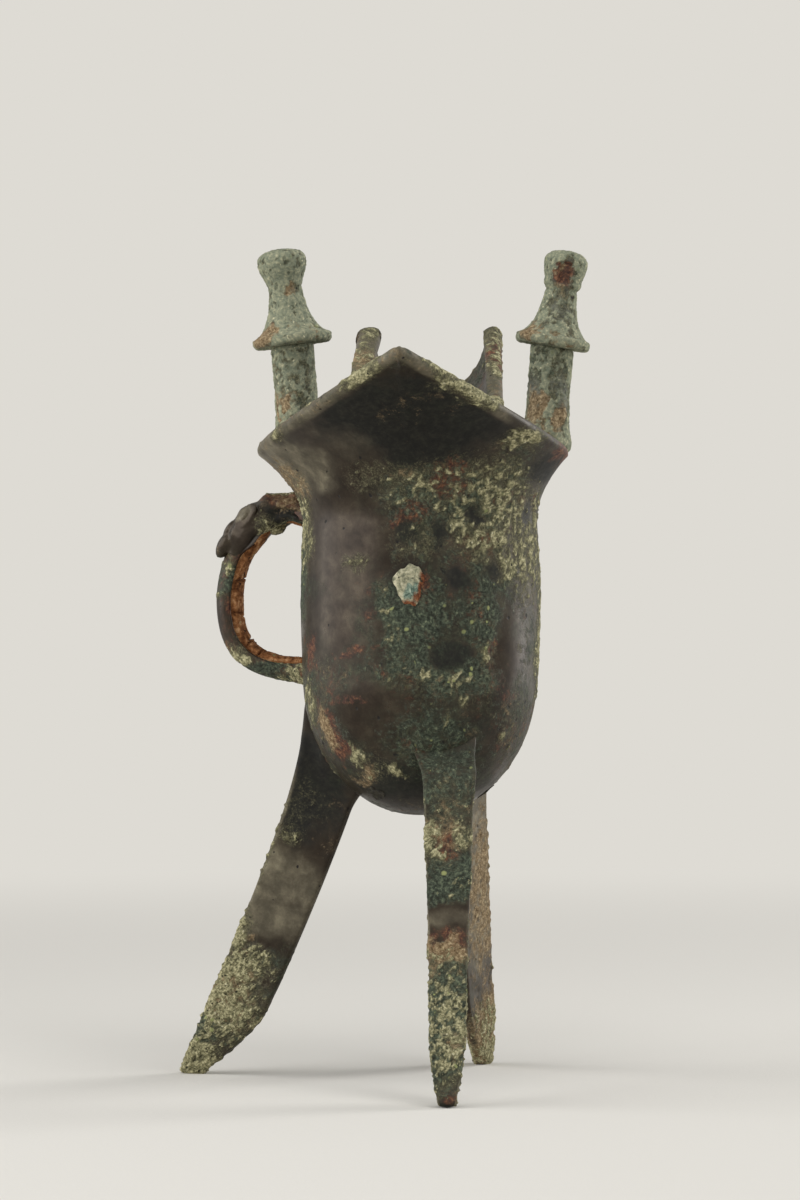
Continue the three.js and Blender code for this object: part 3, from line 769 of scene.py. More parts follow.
    def patches(self) -> list[Patch]:
        """Where the growths lie: on the wall by angle, height, reaches and strength, and on the flare."""
        on_wall = [
            # Painted shade: this first black row darkens the belly's bottom and the flare under the rim.
            (BLACK, [(-90, 74, 22, 9, 0.8), (-60, 88, 14, 9, 0.5), (-113, 146, 10, 5, 0.7)]),
            (BARE, [(-126, 138, 14, 18, 1.0), (-115, 92, 10, 8, 0.95), (-135, 115, 9, 9, 0.75)]),
            (BLACK, [(-92, 123, 7, 8, 0.6)]),
            (
                CRUST,
                [
                    (-48, 144, 24, 14, 0.7), (-83, 146, 14, 8, 0.62), (-86, 133, 10, 6, 0.62),
                    (-57, 134, 12, 9, 0.74), (-22, 134, 15, 20, 0.72), (-2, 112, 9, 28, 0.72),
                    (-42, 127, 5, 4.5, 0.9), (-76, 100, 17, 5, 0.55), (-102, 113, 3.5, 13, 0.5),
                    (-160, 94, 6, 10, 0.7), (-163, 138, 7, 17, 0.75), (-120, 77, 9, 5, 0.4),
                    (-129, 81, 2.4, 4, 0.95), (-102, 77, 2, 3.4, 0.95), (-39, 87, 1.8, 2.6, 0.9),
                    (-34, 107, 2, 2.6, 0.95), (-50, 106, 5, 4, 0.62), (-74, 91, 2, 3.4, 0.9),
                    (-66, 95, 2, 2.2, 0.85), (-121, 128, 4.4, 3.4, 0.5), (60, 120, 19, 22, 0.52),
                ],
            ),
            (
                VERDIGRIS,
                [
                    (-72, 142, 20, 12, 0.62), (-86, 115, 12, 10, 0.78), (-76, 102, 18, 8, 0.8),
                    (-101, 113, 5, 13, 0.75), (-57, 116, 8, 16, 0.72), (-80, 86, 15, 12, 0.55),
                    (-168, 126, 7, 17, 0.8), (110, 100, 22, 22, 0.65),
                ],
            ),
            (
                CUPRITE,
                [
                    (-72, 147, 7, 5, 0.95), (-60, 118, 4, 7, 0.75), (-92, 138, 8, 4, 0.75),
                    (-120, 107, 8, 1.6, 0.64), (-126, 94, 8, 1.6, 0.6), (-151, 106, 4, 6, 0.9),
                    (-141, 84, 4.4, 10, 0.95), (-85, 121, 3, 5, 0.95), (30, 110, 11, 14, 0.7),
                ],
            ),
            (SOIL, [(-147, 86, 3.4, 10, 0.8), (-130, 76, 6, 3, 0.6)]),
            (BARE, [(135, 128, 14, 16, 0.85), (-38, 109, 5, 12, 0.6)]),
            (
                BLACK,
                [
                    (-71, 105.5, 6, 4, 1.0), (-77.5, 133, 2.6, 4.4, 0.95), (-92, 134, 5, 3.4, 0.8),
                    (-58, 139, 2.4, 4, 0.95), (-66, 123, 3.6, 3.6, 0.95), (-50, 126.5, 3, 2.4, 0.8),
                    (-23, 139, 2.2, 5, 0.8), (-73, 146, 2.4, 3, 0.8),
                ],
            ),
        ]
        on_flare = [
            (FILM, (-17, -31, 156), (15, 12, 7), 0.34), (CRUST, (-8, -30, 149), (16, 8, 5), 0.45),
            (CRUST, (8, -30, 148), (14, 8, 5), 0.6), (BLACK, (33, -12, 150), (9, 14, 6), 0.9),
            (FILM, (-33, -18, 151), (17, 22, 8), 1.0), (SOIL, (-30, -6, 149), (10, 16, 8), 0.55),
            (CRUST, (-31, -16, 147), (7, 12, 6), 0.4), (CRUST, (14, -48, 170), (11, 10, 3.4), 1.0),
            (CRUST, (27, -28, 158), (8, 9, 3.4), 0.95), (CUPRITE, (36, -8, 155), (7, 10, 5), 0.9),
            (CUPRITE, (10, -34, 150), (8, 8, 5), 0.6), (CRUST, (17, 92, 188), (7, 10, 9), 0.7),
            (CUPRITE, (18, 80, 184), (6, 14, 7), 0.75), (SOIL, (-20, 84, 186), (8, 18, 10), 0.8),
            (FILM, (-18, 90, 188), (6, 12, 9), 0.8), (VERDIGRIS, (0, 70, 160), (18, 24, 12), 0.6),
            (BLACK, (0, 40, 150), (20, 30, 14), 0.5),
        ]
        # Painted shade: black under the tail.
        found = [Patch(BLACK, (0, -46, 160), (36, 30, 16), 1.0)]
        for growth, rows in on_wall:
            for angle, height, reach, tall, strength in rows:
                found.append(Patch(growth, CUP.spot(angle, height), (reach, reach, tall), strength))
        return found + patches_at(lambda *place: place, on_flare)

    def build(self) -> Piece:
        """The casting as an object, its surface a little uneven and its growths marked."""
        shell, rim_distance = self.shell()
        bent = shell.points.copy()
        hold = smooth_step(rim_distance, 1, 12)
        for k in range(3):
            bent[:, k] += self.unevenness * hold * lump_noise(shell.points, 21, 5 + k)
        shell.points = bent
        piece = shell.object("cup_casting")
        base = {CRUST: 0.2, VERDIGRIS: 0.26, CUPRITE: 0.2, SOIL: 0.12, BLACK: 0.3}
        spread_growths(piece, self.patches(), base, seed=3)
        self.dress_rim(piece, rim_distance)
        return piece

    @staticmethod
    def dress_rim(piece: Piece, rim_distance: Array) -> None:
        """Adds the bloom and the lumps of crust that follow the rim's edge."""
        points = points_of(piece)
        near = 1 - smooth_step(rim_distance, 1.9, 4.4)
        broken = smooth_step(rough_noise(points, 9, 71), -0.5, 0.7)
        dark = smooth_step(points[:, 0], 20, 27) * (points[:, 1] < 0)
        near *= 1 - 0.75 * dark
        for growth, share in ((CRUST, 0.85), (FILM, 1.0), (SOIL, 0.3)):
            part = broken if growth is CRUST else 1 - 0.6 * broken
            set_growth(piece, growth, np.maximum(growth_of(piece, growth), share * near * part))
        tip = hump(points[:, 0], -2, 3.4) * (points[:, 1] < -55)
        set_growth(piece, BLACK, growth_of(piece, BLACK) * (1 - near * (1 - tip)))


@dataclass
class BladeLeg:
    """A solid leg with a flat outer face and a blunt ridge inside, curving out to its foot."""

    name: str
    node: str
    root_angle: float
    inset: float
    foot: tuple[float, float]
    splay: float
    patches: list[tuple[Growth, float, float, float, float, float]]
    seed: int
    raggedness: float = 0.5
    depth: float = 16.8
    edge: float = 1.4
    ridge: float = 1.1
    root_width: float = 15.2
    shank_width: float = 11.4
    foot_width: float = 8.4
    tip_width: float = 4.4
    tip_depth: float = 5.2
    tip_height: float = 17
    root_height: float = 85
    top_height: float = 98
    top_sink: float = 3.4
    spacing: float = 0.55
    fillet: float = 1.3
    merge: float = 0.0  # how far the root's outer face is let into the cup's wall, as a share
    merge_sink: float = 4.6  # how deep that is
    heart: float = 0.4  # how far inwards the section's heart lies, as a share of its depth

    def directions(self) -> tuple[Array, Array, Array]:
        """The root point, and the leg's directions outwards and across."""
        turn = math.radians(self.root_angle)
        radial = np.array([math.cos(turn), math.sin(turn), 0])
        root = radial * (CUP.radius - self.inset)
        outwards = unit(np.array([*self.foot, 0]) - root)
        return root, outwards, np.array([-outwards[1], outwards[0], 0])

    def middle(self, height: float) -> Array:
        """The middle of the outer face at a height."""
        root, _, _ = self.directions()
        spread = max(1 - height / self.root_height, 0) ** self.splay
        sink = max((height - self.root_height) / (self.top_height - self.root_height), 0)
        place = mix(root, np.array([*self.foot, 0]), spread) - unit(root) * self.top_sink * sink
        away = math.hypot(place[0], place[1])
        flush = float(CUP.radius_at(np.array(float(height)))) - self.merge_sink
        share = self.merge * float(smooth_step(np.array(float(height)), 76, 90))
        place *= mix(away, min(away, flush), share) / away
        place[2] = height
        return place

    def size(self, height: float) -> tuple[float, float]:
        """The leg's width and depth at a height."""
        bend = 0.72 * self.root_height
        tip = 1 - (1 - min(height / self.tip_height, 1)) ** 1.7
        shank = min(max((height - self.tip_height) / (bend - self.tip_height), 0), 1)
        root = max((height - bend) / (self.root_height - bend), 0)
        width = mix(self.foot_width, self.shank_width, shank)
        width += (self.root_width - self.shank_width) * root**1.6
        return mix(self.tip_width, width, tip), mix(self.tip_depth, self.depth, tip)

    def along(self, points: Array) -> tuple[Array, Array]:
        """The middle of the outer face, and the leg's width and depth, at each point's height."""
        heights = np.clip(points[:, 2], 0, self.top_height)
        return np.array([self.middle(h) for h in heights]), np.array([self.size(h) for h in heights])

    def outline(self, height: float, count: int) -> Array:
        """The section at a height with a fixed number of points, across and inwards."""
        width, depth = self.size(height)
        half = width / 2
        ridge = min(self.ridge, 0.3 * half)
        corners = [
            (-half, 0), (half, 0), (half, self.edge), (ridge, depth - 0.3), (-ridge, depth - 0.3),
            (-half, self.edge),
        ]
        return along_sides(corners, self.shares(count))

    def shares(self, count: int) -> Array:
        """Where each point of the section lies, as its side's number plus its share of that side."""
        lengths = [self.shank_width, self.edge, self.depth, 2 * self.ridge, self.depth, self.edge]
        lengths = np.array(lengths)
        points = np.maximum(np.round(lengths / lengths.sum() * count), 3).astype(int)
        return np.concatenate([side + np.arange(n) / n for side, n in enumerate(points)])

    def build(self) -> Piece:
        """The leg as an object with its growths marked."""
        _, outwards, across = self.directions()
        count = int(2 * (self.depth + self.shank_width) / self.spacing)
        stations = np.linspace(1.3, self.top_height, int(self.top_height / self.spacing))
        rings = []
        for height in stations:
            outline = self.outline(height, count)
            ring = self.middle(height) + outline[:, :1] * across - outline[:, 1:] * outwards
            rings.append(ring)
        middle = rings[0].mean(axis=0)
        toe = [middle + (rings[0] - middle) * share for share in (0.35, 0.6, 0.78, 0.9, 0.97)]
        for ring, height in zip(toe, (0.0, 0.05, 0.25, 0.55, 0.9)):
            ring[:, 2] = height
        shell = tube_shell(np.array(toe + rings))
        shell.points = self.wear_foot(self.join_cup(shell.points))
        piece = shell.object(self.name)
        found = []
        for growth, height, aside, reach, tall, strength in self.patches:
            place = self.middle(height) + across * aside
            found.append(Patch(growth, tuple(place), (reach, reach, tall), strength))
        base = {CRUST: 0.1, VERDIGRIS: 0.22, CUPRITE: 0.14, SOIL: 0.14, BLACK: 0.3}
        spread_growths(piece, found, base, seed=self.seed)
        self.dress_edges(piece)
        return piece

    def dress_edges(self, piece: Piece) -> None:
        """Adds a thin pale band on the outer face's two long edges: bloom, and a painted highlight along
        them.
        """
        _, outwards, across = self.directions()
        points = points_of(piece)
        axis, sizes = self.along(points)
        away = points - axis
        aside = 1 - np.minimum(np.abs(np.abs(away @ across) - sizes[:, 0] / 2) / 0.9, 1)
        front = 1 - np.minimum(np.abs(away @ outwards + 0.5) / 1.3, 1)
        broken = smooth_step(rough_noise(points, 8, self.seed), -0.8, 0.4)
        share = smooth_step(aside * front, 0.05, 0.5) * broken
        share *= 1 - smooth_step(points[:, 2], 66, 84)
        for growth, part in ((FILM, 1.0), (CRUST, 0.5), (SOIL, 0.2)):
            set_growth(piece, growth, np.maximum(growth_of(piece, growth), part * share))
        set_growth(piece, BLACK, growth_of(piece, BLACK) * (1 - share))

    def join_cup(self, points: Array) -> Array:
        """Ends the leg inside the cup's wall, and swells it into a fillet where it leaves the cup."""
        away = (CUP.closeness(points, 0) - 1) * CUP.radius
        swell = self.fillet * np.clip(1 - away / 4.5, 0, 1) ** 2
        axis, _ = self.along(points)
        _, outwards, _ = self.directions()
        heart = axis - self.heart * self.depth * outwards
        direction = unit((points - heart) * (1, 1, 0))
        face = np.clip(direction @ outwards, 0, 1)
        moved = points + direction * (swell * (1 - face))[:, None]
        return CUP.keep_outside(moved, 0.5 * CUP.wall)

    def wear_foot(self, points: Array) -> Array:
        """Eats into the foot's sides the way corrosion has, leaving its standing face."""
        low = 1 - smooth_step(points[:, 2], 6, 34)
        axis, sizes = self.along(points)
        _, outwards, _ = self.directions()
        heart = axis - self.heart * sizes[:, 1:] * outwards
        eaten = np.clip(rough_noise(points, 5, self.seed + 90), 0, 1.2)
        direction = unit((heart - points) * (1, 1, 0))
        return points + direction * (self.raggedness * low * eaten)[:, None]


def three_legs() -> list[BladeLeg]:
    """The legs and what has grown on each: growth, height, sideways place, reach, tall reach, strength."""
    under_handle = BladeLeg(
        "leg_casting_under_handle", "leg_under_handle", root_angle=166, inset=2.2, foot=(-61, 27),
        splay=1.18, seed=21, raggedness=0.6,
        patches=[
            # The black at height 76 is painted shade at the leg's top, under the cup.
            (BLACK, 76, 0, 18, 22, 0.9), (FILM, 49, 0, 20, 13, 0.86), (FILM, 41, 0, 20, 7, 1.0),
            (CRUST, 70, 0, 14, 9, 0.34), (CRUST, 63, 2, 8, 5, 0.66), (SOIL, 62, -2, 7, 5, 0.55),
            (SOIL, 35.4, -2, 9, 2.6, 0.74), (CRUST, 36, 5, 5, 9, 0.9), (CRUST, 28, 0, 15, 8, 0.98),
            (CRUST, 20, -1, 17, 17, 0.98), (CRUST, 5, 0, 14, 9, 0.95), (CUPRITE, 35, -3, 7, 2.2, 0.6),
            (BLACK, 27, -5, 3, 4, 0.9), (VERDIGRIS, 13, 3, 8, 9, 0.7), (SOIL, 22, 0, 14, 12, 0.65),
        ],
    )
    tail_side = BladeLeg(
        "leg_casting_tail_side", "leg_tail_side", root_angle=-73, inset=0, foot=(9.3, -57.5), splay=1.22,
        merge=1.0, seed=22, raggedness=0.35,
        patches=[
            (VERDIGRIS, 77, 0, 14, 18, 0.56), (CRUST, 70, 0, 9, 12, 0.4), (CRUST, 60, -5, 4, 8, 0.95),
            (CRUST, 62, 3.4, 4, 5, 0.8), (CUPRITE, 60, -1.4, 3.4, 4.4, 1.0), (SOIL, 63, 0, 8, 6, 0.5),
            (VERDIGRIS, 52, 1, 10, 8, 0.85), (CRUST, 50, 2, 8, 6, 0.5), (BARE, 42.7, 0, 14, 4.2, 1.0),
            (FILM, 42.7, 0, 12, 3.6, 0.55), (CUPRITE, 37.8, 0, 11, 2.6, 0.72),
            (SOIL, 36.4, 0, 10, 3.0, 0.7), (CUPRITE, 26, 3, 5, 4, 0.5), (SOIL, 15, 2, 5, 6, 0.5),
            (CRUST, 35, -1, 9, 3.4, 0.62), (CRUST, 18, 0, 16, 21, 0.78), (VERDIGRIS, 20, 1, 15, 21, 0.85),
            (CUPRITE, 2.2, 1, 4, 2.4, 0.7), (BLACK, 0, 0, 8, 3.4, 1.0),
        ],
    )
    spout_side = BladeLeg(
        "leg_casting_spout_side", "leg_spout_side", root_angle=72, inset=0, foot=(13.5, 56.5), splay=1.22,
        merge=0.6, seed=23, raggedness=0.9,
        patches=[
            (FILM, 56, 0, 20, 36, 1.0), (SOIL, 50, -2, 18, 32, 0.68), (BLACK, 60, 0, 5, 5, 0.8),
            (BLACK, 38, 2, 5, 9, 0.7), (CRUST, 13, 0, 16, 9, 0.85), (CRUST, 4, 0, 14, 7, 1.0),
            (CUPRITE, 14, 0, 10, 8, 0.6), (SOIL, 12, 0, 16, 18, 0.85),
        ],
    )
    return [under_handle, tail_side, spout_side]


@dataclass
class HandleLine:
    """The strap's middle line, in its upright plane, and the frame along it."""

    angle: float = 168
    top_rise: float = 1.5
    bottom_drop: float = 36.4
    reach: float = 19.9

    def __post_init__(self) -> None:
        """Samples the line once, evenly by length."""
        shares = [
            (-0.07, 0), (0.2, -0.04), (0.47, -0.01), (0.72, 0.13), (0.92, 0.31), (1, 0.54), (0.93, 0.77),
            (0.71, 0.91), (0.38, 0.98), (-0.07, 1),
        ]
        tall = self.top_rise + self.bottom_drop
        top = CUP.wall_top + self.top_rise
        knots = np.array([(CUP.radius + out * self.reach, top - drop * tall) for out, drop in shares])
        knots = np.vstack([2 * knots[0] - knots[1], knots, 2 * knots[-1] - knots[-2]])
        t = np.linspace(0, 1, 40, endpoint=False)[:, None]
        line = []
        for a, b, c, d in zip(knots[:-3], knots[1:-2], knots[2:-1], knots[3:]):
            curve = t * (2 * a - 5 * b + 4 * c - d + t * (3 * (b - c) + d - a))
            line.append(b + 0.5 * t * (c - a + curve))
        line = np.vstack([*line, knots[-2:-1]])
        lengths = np.concatenate([[0], np.cumsum(np.linalg.norm(np.diff(line, axis=0), axis=1))])
        self.length = float(lengths[-1])
        even = np.linspace(0, self.length, 600)
        self.line = np.stack([np.interp(even, lengths, line[:, k]) for k in range(2)], axis=1)

    def ring(self, share: float, outline: Array) -> Array:
        """An outline of across and out distances, stood on the line at a share of its length."""
        at = np.clip(share, 0, 1) * (len(self.line) - 1)
        low = int(min(at, len(self.line) - 2))
        middle = mix(self.line[low], self.line[low + 1], at - low)
        before, after = self.line[max(low - 6, 0)], self.line[min(low + 7, len(self.line) - 1)]
        along = unit(after - before)
        out = np.array([along[1], -along[0]])
        heart = np.array([CUP.radius, CUP.wall_top - self.bottom_drop / 2])
        if out @ (middle - heart) < 0:
            out = -out
        flat = middle + outline[:, 1:] * out
        turn = math.radians(self.angle)
        x = flat[:, 0] * math.cos(turn) - outline[:, 0] * math.sin(turn)
        y = flat[:, 0] * math.sin(turn) + outline[:, 0] * math.cos(turn)
        return np.column_stack([x, y, flat[:, 1]])

    def spot(self, share: float, across: float, out: float) -> Place:
        """A single place on or near the line."""
        return tuple(self.ring(share, np.array([[across, out]]))[0])


@dataclass
class StrapHandle:
    """The strap with its open back, the clay left in it, and the ox head over its top root."""

    line: HandleLine = field(default_factory=HandleLine)
    width: float = 9.6
    thickness: float = 5.8
    side: float = 1.6
    roof: float = 2
    corner: float = 1.9
    stations: int = 170
    spacing: float = 0.4
    root_flare: float = 0.34
    worn_lips: float = 1.5  # how far the strap's edges have gone back from the clay
    head_share: float = 0.36
    snout_width: float = 11.6
    brow_width: float = 14.2
    crown: float = 2.9
    muzzle: float = 1.7
    voxel: float = 0.27

    def flare(self, share: float) -> float:
        """How much wider the strap is near its roots, where it spreads onto the wall."""
        ends = max(0, 1 - share / 0.09) ** 2 + max(0, 1 - (1 - share) / 0.13) ** 2
        return 1 + self.root_flare * ends

    def strap_shell(self) -> Shell:
        """The strap as a C-shaped section that follows the line."""
        half, thick = self.width / 2, self.thickness / 2
        inner, roof = half - self.side, thick - self.roof
        lips = self.worn_lips - thick
        corners = [
            (-half, lips), (-inner, lips), (-inner, roof), (inner, roof), (inner, lips), (half, lips),
            (half, thick - self.corner), (half - self.corner, thick), (-half + self.corner, thick),
            (-half, thick - self.corner),
        ]
        outline = round_outline(corners, self.spacing, 3)
        shares = np.linspace(0, 1, self.stations)
        return tube_shell(np.array([self.line.ring(s, outline * self.flare(s)) for s in shares]))

    def strap(self) -> Piece:
        """The strap with its growths."""
        piece = self.strap_shell().object("handle_strap_casting")
        rows = [
            (CRUST, (0.41, 3, 1), (4, 5, 4.4), 0.85), (VERDIGRIS, (0.46, 3, 0), (4, 5, 6), 0.95),
            (CRUST, (0.535, 4, 1), (2.6, 3.5, 1.9), 0.95), (CRUST, (0.745, 4, 0), (3.6, 5, 3.2), 0.95),
            (VERDIGRIS, (0.86, 3, 0), (9, 6, 4.5), 0.8), (CRUST, (0.95, 2, 0), (8, 8, 6), 0.85),
            (CUPRITE, (0.55, 0, -3), (3, 6, 9), 0.6), (BARE, (0.6, 0, 3), (4, 7, 8), 0.7),
        ]
        base = {CRUST: 0.08, VERDIGRIS: 0.16, CUPRITE: 0.34, SOIL: 0.12}
        spread_growths(piece, patches_at(self.line.spot, rows), base, seed=31)
        return piece

    def clay_core(self) -> Piece:
        """The clay in the strap's back, worn uneven and cracked across."""
        inner, roof = self.width / 2 - self.side, self.thickness / 2 - self.roof
        floor = -self.thickness / 2
        corners = [(-inner, floor + 0.5), (inner, floor + 0.5), (inner, roof), (-inner, roof)]
        outline = round_outline(corners, self.spacing, 2)
        rings = []
        cracks = ((0.44, 0.5), (0.585, -0.9), (0.71, 1.2), (0.8, -0.6))
        shares = np.linspace(0.02, 0.98, 330)
        for share in shares:
            ring = outline.copy()
            open_side = ring[:, 1] < roof - 1
            dome = 0.75 * np.clip(1 - (ring[:, 0] / inner) ** 2, 0, 1)
            for place, slant in cracks:
                gap = (share - place) * self.line.length - slant * ring[:, 0] * 0.35
                dome -= 1.1 * hump(gap, 0, 0.28)
            ring[:, 1] -= np.where(open_side, dome, 0)
            rings.append(self.line.ring(share, ring))
        shell = tube_shell(np.array(rings))
        wear = rough_noise(shell.points, 2.6, 61, octaves=4)
        heart = np.array([self.line.spot(s, 0, 0) for s in shares])
        middle = np.vstack([np.repeat(heart, len(outline), axis=0), heart[:1], heart[-1:]])
        shell.points = shell.points + unit(shell.points - middle) * (0.16 * wear)[:, None]
        piece = shell.object("handle_core_clay")
        spread_growths(piece, [], {SOIL: 0.4, VERDIGRIS: 0.2, CRUST: 0.2}, seed=33)
        return piece

    def head_section(self, share: float) -> Array:
        """The head's section at a share of its own length, from the muzzle on the wall to the neck."""
        brow, neck = smooth_step(share, 0.3, 0.66), smooth_step(share, 0.78, 1)
        width = mix(mix(self.snout_width, self.brow_width, brow), self.width + 0.5, neck)
        top = self.thickness / 2 + mix(mix(self.muzzle, self.crown, brow), 0.2, neck)
        nose_band = 0.55 * hump(share, 0.4, 0.035) - 0.5 * hump(share, 0.47, 0.03)
        top += nose_band + 0.5 * hump(share, 0.6, 0.05)
        side = width / 2
        floor = -self.thickness / 2 + 0.6 + 1.1 * neck - 1.5 * hump(share, 0.42, 0.16)
        mouth = 0.9 * (1 - smooth_step(share, 0.3, 0.42))
        corners = [
            (-0.86 * side, floor), (0.86 * side, floor), (side, floor + 1.4), (side - mouth, 0.1),
            (side, 0.9), (0.93 * side, 0.6 * top), (0.55 * side, 0.94 * top), (0, top),
            (-0.55 * side, 0.94 * top), (-0.93 * side, 0.6 * top), (-side, 0.9), (-side + mouth, 0.1),
            (-side, floor + 1.4),
        ]
        return along_sides(corners, np.arange(8 * len(corners)) / 8)

    def ball(self, share: float, across: float, out: float, sizes: Place, lean: float = 0.0) -> Shell:
        """A closed egg shape on the head.

        Args:
            share: where on the head's length.
            across: how far to the side.
            out: how far out from the strap's middle line.
            sizes: its half sizes across, along and out.
            lean: how far its outer end leans along the handle, in mm.
        """
        turn = np.linspace(0, 2 * math.pi, 20, endpoint=False)
        rings = []
        for rise in np.linspace(-0.97, 0.97, 13):
            wide = math.sqrt(1 - rise**2)
            at = share * self.head_share + lean * rise / self.line.length
            shares = at + sizes[1] * wide * np.sin(turn) / self.line.length
            asides = across + sizes[0] * wide * np.cos(turn)
            rings.append([self.line.spot(s, a, out + sizes[2] * rise) for s, a in zip(shares, asides)])
        return tube_shell(np.array(rings))

    def hoop(
        self, share: float, across: float, out: float, wide: float, long: float, thick: float,
    ) -> Shell:
        """A closed raised ring round an eye, lying on the head."""
        round_steps, tube_steps = 28, 8
        points = []
        for a in np.linspace(0, 2 * math.pi, round_steps, endpoint=False):
            for b in np.linspace(0, 2 * math.pi, tube_steps, endpoint=False):
                grown = 1 + thick / wide * math.cos(b)
                at = share * self.head_share + long * grown * math.sin(a) / self.line.length
                aside = across + math.copysign(0.35 * wide, across) * grown * math.cos(a)
                rise = out + thick * math.sin(b) - 0.9 * wide * grown * math.cos(a)
                points.append(self.line.spot(at, aside, rise))
        faces = grid_faces(round_steps, tube_steps, True)
        last = (round_steps - 1) * tube_steps
        k = np.arange(tube_steps)
        seam = np.stack([last + k, last + np.roll(k, -1), np.roll(k, -1), k], axis=1)
        return Shell(np.array(points), [np.vstack([faces, seam])])

    def head(self) -> Piece:
        """The ox head: muzzle, brow, ringed eyes and horns run together as one casting."""
        stations = np.linspace(0, 1, 60)
        rings = [self.line.ring(s * self.head_share, self.head_section(s)) for s in stations]
        shell = tube_shell(np.array(rings))
        thick = self.thickness / 2
        parts = []
        for side in (-1, 1):
            parts += [
                self.ball(0.6, side * 5.9, thick + 0.2, (1.2, 1.6, 1.0)),
                self.hoop(0.6, side * 6.5, thick + 0.2, 1.7, 2.7, 0.48),
                self.ball(0.93, side * 3.2, thick + 0.7, (2.6, 3.6, 2.2), lean=0.5),
                self.ball(0.8, side * 3.6, thick + 1.9, (1.7, 2.6, 1.2)),
                self.ball(0.16, side * 3.4, thick + 1.2, (1.5, 1.7, 1.0)),
            ]
        parts.append(self.ball(0.45, 0, -thick - 0.9, (3.6, 3.4, 1.2)))
        piece = shell.object("ox_head_casting")
        for part in parts:
            extra = part.object("part")
            with bpy.context.temp_override(active_object=piece, selected_editable_objects=[piece, extra]):
                bpy.ops.object.join()
        fuse = piece.modifiers.new("fuse", "REMESH")
        fuse.mode = "VOXEL"
        fuse.voxel_size = self.voxel * MM
        smoother = piece.modifiers.new("smoother", "SMOOTH")
        smoother.factor = 0.5
        smoother.iterations = 3
        make_plain(piece)
        rows = [
            (BARE, (0.26, 4, 2), (9, 9, 9), 0.9), (FILM, (0.216, 6.5, 3.4), (2.6, 2.6, 2.6), 0.9),
            (SOIL, (0.07, 3, 3), (10, 9, 6), 0.47), (CUPRITE, (0.08, 3, 2.6), (8, 8, 4), 1.0),
            (CRUST, (0.12, 4, 4.4), (5, 5, 1.6), 0.8), (CRUST, (0.17, 3, -3.6), (6.5, 8, 5), 0.95),
            (BLACK, (0.1, 5.4, -0.9), (5.5, 5, 2.8), 1.0), (VERDIGRIS, (0.03, 0, -2), (6, 8, 5), 0.9),
            (CRUST, (0.0, 0, 2), (4.5, 9, 7), 0.85),
        ]
        base = {CRUST: 0.12, VERDIGRIS: 0.2, CUPRITE: 0.28, SOIL: 0.3}
        spread_growths(piece, patches_at(self.line.spot, rows), base, seed=35)
        return piece


def make_plain(piece: Piece) -> None:
    """Turns a piece's modifiers into its mesh, and keeps its object, place and materials."""
    piece.update_tag()
    bpy.context.view_layer.update()
    graph = bpy.context.evaluated_depsgraph_get()
    mesh = bpy.data.meshes.new_from_object(piece.evaluated_get(graph))
    piece.modifiers.clear()
    old = piece.data
    piece.data = mesh
    bpy.data.meshes.remove(old)
    mesh.name = piece.name
    mesh.shade_smooth()


